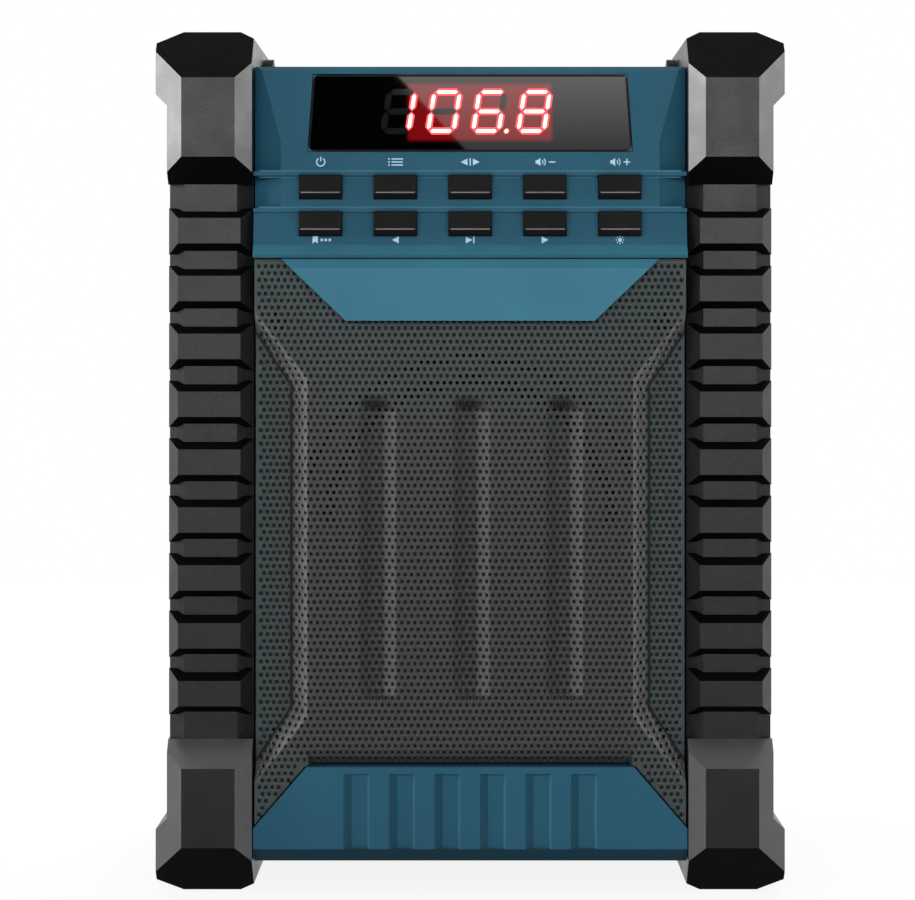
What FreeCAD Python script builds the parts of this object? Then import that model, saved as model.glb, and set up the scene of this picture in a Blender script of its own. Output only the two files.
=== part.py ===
import FreeCAD, Part
import os
import re
import Sketcher

# A compact jobsite radio between four corner guards: millimetres, +Z up, -Y the front,
# origin at the bottom centre of the box that holds the whole radio.

os.makedirs("parts", exist_ok=True)
doc = FreeCAD.newDocument("jobsite_radio")

# Driving sizes. A "depth" is measured back from the front plane of the guards,
# a "rise" or "height" up from the floor, a "drop" down from the top.
SIZES = {
    # overall
    "overall_depth": 125,
    "overall_height": 240,
    "wall": 2.5,
    "fit_gap": 0.3,
    "slide_gap": 0.15,
    "pin_gap": 0.05,
    # corner guards
    "guard_inner": 60.4,
    "guard_width": 23.5,
    "guard_bulge": 3.5,
    "guard_chamfer": 4.4,
    "crown_chamfer": 14,
    "cap_drop": 35.8,
    "cap_length": 34,
    "undercut_rise": 7.2,
    "post_setback": 8,
    "bulge_drop": 21.4,
    "rail_drop": 22,
    "outer_bevel_width": 7.2,
    "outer_bevel_drop": 3.5,
    "inner_bevel_width": 3.8,
    "inner_bevel_drop": 2,
    # treads on the posts
    "tread_pitch": 16,
    "tread_height": 4.2,
    "tread_root": 2,
    "tread_pad_height": 7,
    "tread_pad_width": 17.3,
    "tread_base_height": 12.9,
    # housing
    "side_setback": 4,
    "housing_bottom": 9,
    "deck_drop": 26,
    "rear_setback": 10,
    "seal_thickness": 1,
    "seal_inset": 0.3,
    # control panel, from the lip up
    "lip_depth": 3,
    "lip_edge": 0.8,
    "shelf_depth": 5.6,
    "shelf_rise": 3.7,
    "key_band_2": 9,
    "key_band_1": 10.2,
    "display_band": 30.8,
    "channel_slope": 2,
    "ledge_reach": 1.4,
    "ledge_thickness": 1.1,
    "facet_depth": 7.6,
    "rim_depth": 11.6,
    "rim_drop": 9.8,
    "rim_round": 1.2,
    "rim_width": 7.5,
    "cheek_width": 7.5,
    "cheek_fall": 4.5,
    "key_cavity_depth": 10.5,
    "glass_cavity_depth": 14.6,
    # speaker face
    "floor_depth": 14,
    "base_top": 35.5,
    "base_depth": 5,
    "base_chamfer": 3.8,
    "shoulder_inset": 14.7,
    "base_side_height": 18.5,
    "flute_count": 6,
    "flute_pitch": 12.6,
    "flute_width": 7.2,
    "flute_depth": 1.3,
    "flute_slope": 2.2,
    "flute_return": 0.7,
    "flute_top": 33.6,
    "grille_depth": 6,
    "sheet_thickness": 0.8,
    "cloth_thickness": 0.3,
    "pocket_depth": 12.2,
    "pocket_inner": 44.9,
    "pocket_slope": 4.7,
    "pocket_drop": 21.8,
    "pocket_rise": 2.5,
    "pocket_corner": 11,
    "channel_spacing": 25.9,
    "channel_width": 10,
    "channel_depth": 2.6,
    "channel_below": 49.5,
    "channel_above": 31.8,
    "nose_depth": 2.4,
    "nose_top_half": 52.3,
    "nose_low_half": 34.4,
    "nose_height": 17.1,
    "nose_bevel": 2.6,
    # display
    "glass_rise": 5.7,
    "glass_drop": 2.3,
    "glass_low_half": 45.1,
    "glass_high_half": 43.8,
    "glass_seat_depth": 12.6,
    "glass_ledge": 1.6,
    "glass_inset": 0.35,
    "module_half": 31,
    "module_inset": 2.2,
    # keys
    "key_pitch": 20.75,
    "key_width": 11.8,
    "key_height": 6.7,
    "key_drop": 3.15,
    "key_reach": 2.4,
    "key_bevel": 1.5,
    "key_edge": 0.3,
    "key_flange": 0.9,
    "key_flange_thickness": 1.2,
    "key_travel": 0.8,
    "mat_thickness": 2,
    "mat_half": 49,
    "board_thickness": 1.6,
    # speaker
    "speaker_drop": 2,
    "speaker_hole": 43.5,
    "basket_rim": 51,
    "basket_plate": 2,
    "basket_window": 12.5,
    "cone_outer": 36.5,
    "cone_inner": 10.6,
    "cone_drop": 13,
    "cone_thickness": 0.8,
    "cap_height": 5.3,
    "cap_shoulder_height": 3.5,
    "cap_shoulder_radius": 8,
    "surround_height": 3,
    "coil_wall": 0.8,
    "coil_length": 12,
    "magnet_radius": 27,
    "magnet_height": 12,
    "plate_height": 4,
    "coil_gap": 0.5,
    "frame_thickness": 1.5,
    "frame_depth": 21,
    # screws
    "boss_radius": 4.2,
    "screw_head": 3.2,
    "screw_shank": 1.75,
    "screw_head_height": 2.2,
    "small_head": 2.6,
    "small_shank": 1.3,
    "bolt_spread": 34.2,
    "pilot_skin": 0.5,
    "case_screw_inset": 6.1,
    "case_screw_rise": 7,
    "case_screw_mid_drop": 28,
    "case_screw_drop": 9,
    "case_screw_seat": 12,
    "case_screw_length": 20,
    # rear face
    "bay_half": 37,
    "bay_rise": 18,
    "bay_height": 52,
    "bay_deep": 36,
    "door_thickness": 2.5,
    "door_margin": 4,
    "barrel_radius": 2.4,
    "barrel_length": 12,
    "barrel_spacing": 37,
    "pin_radius": 1,
    "pin_bite": 2,
    "port_left": 8,
    "port_width": 38,
    "port_height": 18,
    "port_drop": 56,
    "port_deep": 9,
    "flap_thickness": 2.2,
    "flap_margin": 2.5,
    "flap_plug": 1.5,
    "socket_radius": 4,
    "socket_inset": 6,
    "aux_bore": 1.8,
    "dc_bore": 3.2,
    "usb_width": 14,
    "usb_height": 7,
    "usb_tongue": 2,
    "board_setback": 24.5,
    "board_half": 48,
    "board_rise": 17,
    "board_drop": 10,
    "board_post": 2.8,
    # aerial
    "mast_x": -38,
    "mast_rise": 27,
    "mast_drop": 14,
    "mast_radius": 3.5,
    "mast_tubes": 5,
    "tube_wall": 0.4,
    "mast_step": 2,
    "mast_nest": 1,
    "knuckle_radius": 4,
    "knuckle_width": 4,
    "ear_thickness": 2.5,
    "ear_foot": 2,
    "knuckle_drop": 6,
    "tip_radius": 3.3,
    "tip_height": 6,
    "tip_bevel": 1.6,
    # carry handle
    "handle_pivot_back": 50,
    "handle_pivot_drop": 10.5,
    "grip_setback": 27,
    "handle_fall": 7,
    "arm_thickness": 2.6,
    "arm_width": 9,
    "grip_radius": 5,
    "sleeve_radius": 8,
    "sleeve_half": 42,
    "hub_radius": 6.5,
    "pivot_radius": 2.5,
    "pivot_head": 4.5,
    "pivot_head_height": 1.2,
    "pivot_bite": 8,
    # screw wells under the sheet, battery contacts, door notch
    "well_radius": 4.2,
    "well_inset": 6.6,
    "well_drop": 17.8,
    "well_rise": 8.1,
    "pack_corner": 6,
    "contact_depth": 3,
    "contact_half": 14,
    "contact_height": 10,
    "notch_half": 9,
    "notch_height": 4,
    "notch_depth": 1.2,
}

# Places that follow from the driving sizes.
PLACES = {
    "front": "-overall_depth / 2",
    "rear": "overall_depth / 2",
    "guard_outer": "guard_inner + guard_width",
    "guard_middle": "guard_inner + guard_width / 2",
    "bulge_outer": "guard_outer + guard_bulge",
    "mid_height": "overall_height / 2",
    "cap_low": "overall_height - cap_drop",
    "post_top": "cap_low - undercut_rise",
    "tread_count": "floor((2 * post_top - overall_height - tread_base_height) / tread_pitch) + 1",
    "post_front": "front + post_setback",
    "cap_back": "front + cap_length",
    "rail_low": "overall_height - rail_drop",
    "body_half": "guard_inner - fit_gap",
    "bay_side": "guard_outer - side_setback",
    "side_front": "cap_back + fit_gap",
    "side_top": "rail_low - fit_gap",
    "side_bottom": "overall_height - side_top",
    "deck": "overall_height - deck_drop",
    "shell_back": "rear - rear_setback",
    "seam_front": "-seal_thickness / 2",
    "seam_back": "seal_thickness / 2",
    "floor_front": "front + floor_depth",
    "floor_back": "floor_front + wall",
    "key_cavity": "front + key_cavity_depth",
    "glass_cavity": "front + glass_cavity_depth",
    "glass_seat": "front + glass_seat_depth",
    "rim_height": "overall_height - rim_drop",
    "ledge_height_1": "rim_height - display_band",
    "ledge_height_2": "ledge_height_1 - key_band_1",
    "shelf_height": "ledge_height_2 - key_band_2",
    "lip_height": "shelf_height - shelf_rise",
    "facet_low": "ledge_height_1 + ledge_thickness",
    "glass_low": "facet_low + glass_rise",
    "glass_high": "rim_height - glass_drop",
    "key_row_1": "ledge_height_1 - key_drop",
    "key_row_2": "ledge_height_2 - key_drop",
    "base_shoulder": "body_half - shoulder_inset",
    "mat_front": "key_cavity + key_flange_thickness + key_travel + slide_gap",
    "mat_back": "mat_front + mat_thickness",
    "panel_board_back": "mat_back + board_thickness",
    "grille_front": "front + grille_depth",
    "grille_back": "floor_front - cloth_thickness",
    "grille_top": "lip_height - fit_gap",
    "grille_low": "base_top + fit_gap",
    "speaker_height": "(base_top + lip_height) / 2 - speaker_drop",
    "channel_low": "speaker_height - channel_below",
    "channel_high": "speaker_height + channel_above",
    "pocket_top": "grille_top - pocket_drop",
    "pocket_bottom": "base_top + pocket_rise",
    "nose_low": "grille_top - nose_height",
    "well_x": "body_half - well_inset",
    "well_high": "grille_top - well_drop",
    "well_low": "base_top + well_rise",
    "case_screw_x": "body_half - case_screw_inset",
    "case_screw_low": "housing_bottom + case_screw_rise",
    "case_screw_mid": "mid_height - case_screw_mid_drop",
    "case_screw_high": "deck - case_screw_drop",
    "bay_low": "housing_bottom + bay_rise",
    "bay_high": "bay_low + bay_height",
    "bay_front": "shell_back - bay_deep",
    "port_floor": "shell_back - port_deep",
    "hinge_height": "bay_low - door_margin + barrel_radius + 2 * fit_gap",
    "hinge_back": "shell_back - barrel_radius",
    "mast_y": "shell_back",
    "mast_low": "bay_high + mast_rise",
    "mast_length": "overall_height - mast_drop - tip_height - (mast_tubes - 1) * mast_step - mast_low",
    "mast_pivot": "mast_low - knuckle_drop",
    "handle_pivot_y": "front + handle_pivot_back",
    "handle_pivot_height": "overall_height - handle_pivot_drop",
    "grip_y": "rear - grip_setback",
    "grip_z": "handle_pivot_height - handle_fall",
    "arm_outer": "guard_inner - fit_gap",
    "arm_inner": "arm_outer - arm_thickness",
    "port_right": "port_left + port_width",
    "port_high": "deck - port_drop",
    "port_low": "port_high - port_height",
    "port_middle": "(port_low + port_high) / 2",
    "board_place": "shell_back - board_setback",
    "board_back": "board_place + board_thickness",
    "board_low": "bay_high + board_rise",
    "board_high": "deck - board_drop",
}

sheet = doc.addObject("Spreadsheet::Sheet", "sizes")
for row, (alias, value) in enumerate({**SIZES, **PLACES}.items(), start=1):
    sheet.set(f"A{row}", alias)
    sheet.set(f"B{row}", f"={value}" if alias in PLACES else str(value))
    sheet.setAlias(f"B{row}", alias)
doc.recompute()

WORD = re.compile(r"[a-z][a-z0-9_]*")
AXES = {"X": "YZ_Plane", "Y": "XZ_Plane", "Z": "XY_Plane"}
nodes = []


def cells(text):
    """An expression with each alias in it given its sheet."""
    def placed(word):
        return f"sizes.{word[0]}" if word[0] in SIZES or word[0] in PLACES else word[0]
    return WORD.sub(placed, text)


def number(text):
    return float(sheet.evalExpression(cells(text)))


def bind(thing, name, text):
    thing.setExpression(name, cells(text))


def piece(label):
    """A sub-part: its label names its file."""
    body = doc.addObject("PartDesign::Body", label)
    nodes.append(body)
    return body


def origin_item(body, role):
    return next(item for item in body.Origin.OriginFeatures if item.Role == role)


def polygon(*corners):
    """A closed straight-sided outline; a corner is a pair of expressions."""
    def draw(sketch):
        places = [FreeCAD.Vector(number(x), number(y), 0) for x, y in corners]
        first = sketch.GeometryCount
        count = len(corners)
        for index, place in enumerate(places):
            sketch.addGeometry(Part.LineSegment(place, places[(index + 1) % count]))
        for index, corner in enumerate(corners):
            sketch.addConstraint(
                Sketcher.Constraint("Coincident", first + index, 2, first + (index + 1) % count, 1))
            for kind, text in zip(("DistanceX", "DistanceY"), corner):
                at = sketch.addConstraint(Sketcher.Constraint(kind, first + index, 1, number(text)))
                bind(sketch, f"Constraints[{at}]", text)
    return draw


def box(left, low, right, high):
    return polygon((left, low), (right, low), (right, high), (left, high))


def disc(x, y, radius):
    """A circle; its centre and radius are expressions."""
    def draw(sketch):
        centre = FreeCAD.Vector(number(x), number(y), 0)
        circle = sketch.addGeometry(Part.Circle(centre, FreeCAD.Vector(0, 0, 1), number(radius)))
        for kind, text in (("DistanceX", x), ("DistanceY", y)):
            at = sketch.addConstraint(Sketcher.Constraint(kind, circle, 3, number(text)))
            bind(sketch, f"Constraints[{at}]", text)
        at = sketch.addConstraint(Sketcher.Constraint("Radius", circle, number(radius)))
        bind(sketch, f"Constraints[{at}]", radius)
    return draw


def sketch_on(body, name, axis, place, outlines):
    """A sketch square to an axis. Its own x and y are the other two axes, in X, Y, Z order."""
    sketch = body.newObject("Sketcher::SketchObject", name)
    sketch.AttachmentSupport = [(origin_item(body, AXES[axis]), "")]
    sketch.MapMode = "FlatFace"
    bind(sketch, "AttachmentOffset.Base.z", f"-({place})" if axis == "Y" else place)
    for outline in outlines:
        outline(sketch)
    return sketch


def add(body, name, axis, low, high, *outlines):
    """Pad outlines along an axis, between two places on it."""
    sketch = sketch_on(body, f"{name}_outline", axis, high if axis == "Y" else low, outlines)
    feature = body.newObject("PartDesign::Pad", name)
    feature.Profile = sketch
    bind(feature, "Length", f"({high}) - ({low})")
    doc.recompute()
    return feature


def cut(body, name, axis, low, high, *outlines):
    """Pocket outlines along an axis, between two places on it; it has to remove something."""
    before = body.Tip.Shape.Volume
    sketch = sketch_on(body, f"{name}_outline", axis, low if axis == "Y" else high, outlines)
    feature = body.newObject("PartDesign::Pocket", name)
    feature.Profile = sketch
    bind(feature, "Length", f"({high}) - ({low})")
    doc.recompute()
    if not feature.Shape.Volume < before:
        raise RuntimeError(f"{body.Label}: {name} cuts nothing")
    return feature


def turn(body, name, axis, *outlines):
    """Revolve outlines drawn beside an axis: (along, radius) for Y, (radius, up) for Z."""
    role = "YZ_Plane" if axis == "Y" else "XZ_Plane"
    sketch = body.newObject("Sketcher::SketchObject", f"{name}_outline")
    sketch.AttachmentSupport = [(origin_item(body, role), "")]
    sketch.MapMode = "FlatFace"
    for outline in outlines:
        outline(sketch)
    feature = body.newObject("PartDesign::Revolution", name)
    feature.Profile = sketch
    feature.ReferenceAxis = (sketch, ["H_Axis" if axis == "Y" else "V_Axis"])
    feature.Angle = 360
    doc.recompute()
    return feature


def taper(body, name, near, far):
    """Cut a straight-sided hollow between two outlines, each with its place on the Y axis."""
    before = body.Tip.Shape.Volume
    ends = [sketch_on(body, f"{name}_{end}", "Y", place, [outline])
            for end, (place, outline) in (("near", near), ("far", far))]
    feature = body.newObject("PartDesign::SubtractiveLoft", name)
    feature.Profile = ends[0]
    feature.Sections = [ends[1]]
    feature.Ruled = True
    doc.recompute()
    if not feature.Shape.Volume < before:
        raise RuntimeError(f"{body.Label}: {name} cuts nothing")
    return feature


def ease(body, name, kind, size, chosen):
    """Fillet or chamfer the edges of the tip that a test picks."""
    tip = body.Tip
    edges = [f"Edge{index}" for index, edge in enumerate(tip.Shape.Edges, start=1) if chosen(edge)]
    feature = body.newObject(f"PartDesign::{kind}", name)
    feature.Base = (tip, edges)
    bind(feature, "Radius" if kind == "Fillet" else "Size", size)
    doc.recompute()
    return feature


def along(edge, axis):
    """Whether a straight edge runs along an axis."""
    span = edge.BoundBox
    lengths = {"X": span.XLength, "Y": span.YLength, "Z": span.ZLength}
    longest = lengths.pop(axis)
    return longest > 1e-3 and max(lengths.values()) < 1e-4


def mirrored(source, label, normal):
    """A mirror image of a sub-part through the radio's origin."""
    copy = doc.addObject("Part::Mirroring", label)
    copy.Source = source
    copy.Normal = normal
    nodes.append(copy)
    return copy


LEFT_RIGHT = FreeCAD.Vector(1, 0, 0)
FRONT_BACK = FreeCAD.Vector(0, 1, 0)
UP_DOWN = FreeCAD.Vector(0, 0, 1)


def corner_cut(body, name, front, back, sign):
    """Chamfer the upright corners of a guard or post, outer and inner, at one end."""
    start = f"{sign}({front})"
    end = f"{sign}({front} + guard_bulge + guard_chamfer)"
    step = f"{sign}({front} + guard_chamfer)"
    outer = polygon(("-(guard_outer - guard_chamfer)", start), ("-bulge_outer", end),
                    ("-bulge_outer - guard_chamfer", end), ("-bulge_outer - guard_chamfer", start))
    inner = polygon(("-(guard_inner + guard_chamfer)", start), ("-guard_inner", step),
                    ("-guard_inner + guard_chamfer", step), ("-guard_inner + guard_chamfer", start))
    cut(body, name, "Z", "-guard_chamfer", "overall_height + guard_chamfer", outer, inner)


def guard(label):
    """The upper left guard: a rail along the top with a heavy cap at each end."""
    body = piece(label)
    side = polygon(
        ("front", "cap_low"), ("front", "overall_height - crown_chamfer"),
        ("front + crown_chamfer", "overall_height"), ("rear - crown_chamfer", "overall_height"),
        ("rear", "overall_height - crown_chamfer"), ("rear", "cap_low"),
        ("rear - post_setback", "post_top"), ("-cap_back", "post_top"),
        ("-cap_back", "rail_low"), ("cap_back", "rail_low"),
        ("cap_back", "post_top"), ("post_front", "post_top"))
    add(body, "side", "X", "-bulge_outer", "-guard_inner", side)
    step = polygon(("-guard_outer", "post_top - guard_bulge"),
                   ("-guard_outer", "overall_height - bulge_drop"),
                   ("-bulge_outer", "overall_height - bulge_drop + guard_bulge"),
                   ("-bulge_outer - guard_chamfer", "overall_height - bulge_drop + guard_bulge"),
                   ("-bulge_outer - guard_chamfer", "post_top - guard_bulge"))
    cut(body, "waist", "Y", "front", "rear", step)
    outer = polygon(("-bulge_outer + outer_bevel_width", "overall_height"),
                    ("-bulge_outer", "overall_height - outer_bevel_drop"), ("-bulge_outer", "overall_height"))
    inner = polygon(("-guard_inner - inner_bevel_width", "overall_height"),
                    ("-guard_inner", "overall_height - inner_bevel_drop"), ("-guard_inner", "overall_height"))
    cut(body, "top_bevels", "Y", "front", "rear", outer, inner)
    corner_cut(body, "front_corners", "front", "rear", "")
    corner_cut(body, "rear_corners", "front", "rear", "-")
    return body


def post(label):
    """The front left post: a chamfered bar with a ladder of raised treads."""
    body = piece(label)
    add(body, "bar", "Z", "overall_height - post_top", "post_top",
        polygon(("-guard_outer", "post_front + guard_chamfer"),
                ("-(guard_outer - guard_chamfer)", "post_front"),
                ("-(guard_inner + guard_chamfer)", "post_front"),
                ("-guard_inner", "post_front + guard_chamfer"),
                ("-guard_inner", "cap_back"), ("-guard_outer", "cap_back")))
    lowest = "mid_height - (tread_count - 1) / 2 * tread_pitch"
    root, pad = "post_front + tread_root", "post_front - tread_height"
    tread = add(body, "tread", "X", "-guard_outer", "-guard_inner", polygon(
        (root, f"{lowest} - tread_base_height / 2"), (pad, f"{lowest} - tread_pad_height / 2"),
        (pad, f"{lowest} + tread_pad_height / 2"), (root, f"{lowest} + tread_base_height / 2")))
    ladder = body.newObject("PartDesign::LinearPattern", "ladder")
    ladder.Originals = [tread]
    ladder.Direction = (origin_item(body, "Z_Axis"), [""])
    bind(ladder, "Length", "(tread_count - 1) * tread_pitch")
    bind(ladder, "Occurrences", "tread_count")
    body.Tip = ladder
    doc.recompute()
    ends = [polygon((edge, root), (f"-guard_middle {side} tread_pad_width / 2", pad), (edge, pad))
            for side, edge in (("-", "-guard_outer"), ("+", "-guard_inner"))]
    cut(body, "tread_ends", "Z", "overall_height - post_top", "post_top", *ends)
    return body


def corner_guards():
    """Four guards and four posts; only the upper guards hold the handle's bolts."""
    upper = guard("upper_guard_left")
    plain = upper.Tip
    cut(upper, "pivot_hole", "X", "-guard_inner - pivot_bite", "-guard_inner",
        disc("handle_pivot_y", "handle_pivot_height", "pivot_radius + pin_gap"))
    mirrored(upper, "upper_guard_right", LEFT_RIGHT)
    lower = mirrored(plain, "lower_guard_left", UP_DOWN)
    bind(lower, "Base.z", "mid_height")
    mirrored(lower, "lower_guard_right", LEFT_RIGHT)
    front = post("front_post_left")
    mirrored(front, "front_post_right", LEFT_RIGHT)
    rear = mirrored(front, "rear_post_left", FRONT_BACK)
    mirrored(rear, "rear_post_right", LEFT_RIGHT)


def screw_places():
    """Where the case screws sit: left and right, at three heights."""
    return [(f"{side}case_screw_x", f"case_screw_{level}")
            for side in ("-", "") for level in ("low", "mid", "high")]


def key_places():
    """Column and row centres of the ten keys."""
    return [(f"{column} * key_pitch", f"key_row_{row}") for row in (1, 2) for column in range(-2, 3)]


def panel_profile():
    """The side profile of the front shell, from the bottom seam up the face and back over the top."""
    return polygon(
        ("seam_front", "housing_bottom"), ("front + base_depth + base_chamfer", "housing_bottom"),
        ("front + base_depth", "housing_bottom + base_chamfer"), ("front + base_depth", "base_top"),
        ("floor_front", "base_top"), ("floor_front", "lip_height"),
        ("front + lip_depth", "lip_height"), ("front + lip_depth", "lip_height + lip_edge"),
        ("front + shelf_depth", "shelf_height"), ("front + shelf_depth + channel_slope", "ledge_height_2"),
        ("front + shelf_depth + channel_slope - ledge_reach", "ledge_height_2"),
        ("front + shelf_depth + channel_slope - ledge_reach", "ledge_height_2 + ledge_thickness"),
        ("front + facet_depth + channel_slope - ledge_reach", "ledge_height_1"),
        ("front + facet_depth - ledge_reach / 2", "ledge_height_1"),
        ("front + facet_depth - ledge_reach / 2", "facet_low"),
        ("front + rim_depth", "rim_height - rim_round"), ("front + rim_depth + rim_round", "rim_height"),
        ("front + rim_depth + rim_width", "rim_height"),
        ("front + rim_depth + rim_width + rim_height - deck", "deck"), ("seam_front", "deck"))


def front_shell():
    """The front half of the housing: stepped control panel, speaker face and fluted base."""
    body = piece("front_shell")
    add(body, "face", "X", "-body_half", "body_half", panel_profile())
    add(body, "sides", "Y", "side_front", "seam_front",
        *[box(f"{side}body_half", "side_bottom", f"{side}bay_side", "side_top") for side in ("-", "")])
    for name, low, high in (("facet_cheeks", "facet_low", "rim_height + rim_round"),
                            ("key_cheeks", "ledge_height_2 + ledge_thickness", "ledge_height_1")):
        cheeks = [polygon(
            (f"{side}(body_half + wall)", "floor_front - rim_round + cheek_fall / cheek_width * wall"),
            (f"{side}(body_half - cheek_width)", "floor_front - rim_round - cheek_fall"),
            (f"{side}(body_half - cheek_width)", "front"), (f"{side}(body_half + wall)", "front"))
                  for side in ("-", "")]
        cut(body, name, "Z", low, high, *cheeks)
    cut(body, "inside", "Y", "floor_back", "seam_front",
        box("-(body_half - wall)", "housing_bottom + wall", "body_half - wall", "deck - wall"))
    cut(body, "side_inside", "Y", "side_front + wall", "seam_front",
        box("-(bay_side - wall)", "side_bottom + wall", "bay_side - wall", "deck - wall"))
    cut(body, "panel_inside", "Y", "key_cavity", "floor_back",
        box("-(mat_half + fit_gap)", "lip_height + wall", "mat_half + fit_gap", "ledge_height_1 + wall"))
    cut(body, "glass_inside", "Y", "glass_cavity", "front + rim_depth + rim_width",
        box("-(mat_half + fit_gap)", "lip_height + wall", "mat_half + fit_gap", "rim_height - wall"))
    cut(body, "glass_hole", "Y", "front", "glass_cavity", polygon(
        ("-(glass_low_half - glass_ledge)", "glass_low + glass_ledge"),
        ("glass_low_half - glass_ledge", "glass_low + glass_ledge"),
        ("glass_high_half - glass_ledge", "glass_high - glass_ledge"),
        ("-(glass_high_half - glass_ledge)", "glass_high - glass_ledge")))
    cut(body, "glass_recess", "Y", "front", "glass_seat", polygon(
        ("-(glass_low_half + slide_gap)", "glass_low - slide_gap"),
        ("glass_low_half + slide_gap", "glass_low - slide_gap"),
        ("glass_high_half + slide_gap", "glass_high + slide_gap"),
        ("-(glass_high_half + slide_gap)", "glass_high + slide_gap")))
    cut(body, "key_holes", "Y", "front", "key_cavity", *[
        box(f"{x} - key_width / 2 - slide_gap", f"{z} - key_height / 2 - slide_gap",
            f"{x} + key_width / 2 + slide_gap", f"{z} + key_height / 2 + slide_gap")
        for x, z in key_places()])
    cut(body, "speaker_hole", "Y", "floor_front", "floor_back", disc("0", "speaker_height", "speaker_hole"),
        *[disc(f"{side}well_x", f"well_{level}", "well_radius")
          for side in ("-", "") for level in ("low", "high")])
    shoulders = [polygon((f"{side}(body_half + wall)", "base_side_height"),
                         (f"{side}body_half", "base_side_height"), (f"{side}base_shoulder", "base_top"),
                         (f"{side}base_shoulder", "base_top + wall"),
                         (f"{side}(body_half + wall)", "base_top + wall"))
                 for side in ("-", "")]
    cut(body, "base_shoulders", "Y", "front", "floor_front", *shoulders)
    flutes = []
    for index in range(SIZES["flute_count"]):
        left = f"({index} - (flute_count - 1) / 2) * flute_pitch - flute_width / 2"
        flutes.append(polygon(
            (left, "front + base_depth"), (f"{left} + flute_slope", "front + base_depth + flute_depth"),
            (f"{left} + flute_width - flute_return", "front + base_depth + flute_depth"),
            (f"{left} + flute_width", "front + base_depth"),
            (f"{left} + flute_width", "front"), (left, "front")))
    cut(body, "flutes", "Z", "housing_bottom + base_chamfer", "flute_top", *flutes)
    for index, (x, z) in enumerate(screw_places()):
        add(body, f"boss_{index}", "Y", "floor_back - wall / 2", "seam_front", disc(x, z, "boss_radius"))
    cut(body, "pilots", "Y", "seam_front - case_screw_length", "seam_front",
        *[disc(x, z, "screw_shank + pin_gap") for x, z in screw_places()])
    cut(body, "speaker_pilots", "Y", "floor_front + pilot_skin", "floor_back",
        *[disc(f"{a}bolt_spread", f"speaker_height {b} bolt_spread", "small_shank + pin_gap")
          for a in ("-", "") for b in ("-", "+")])
    return body


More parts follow.
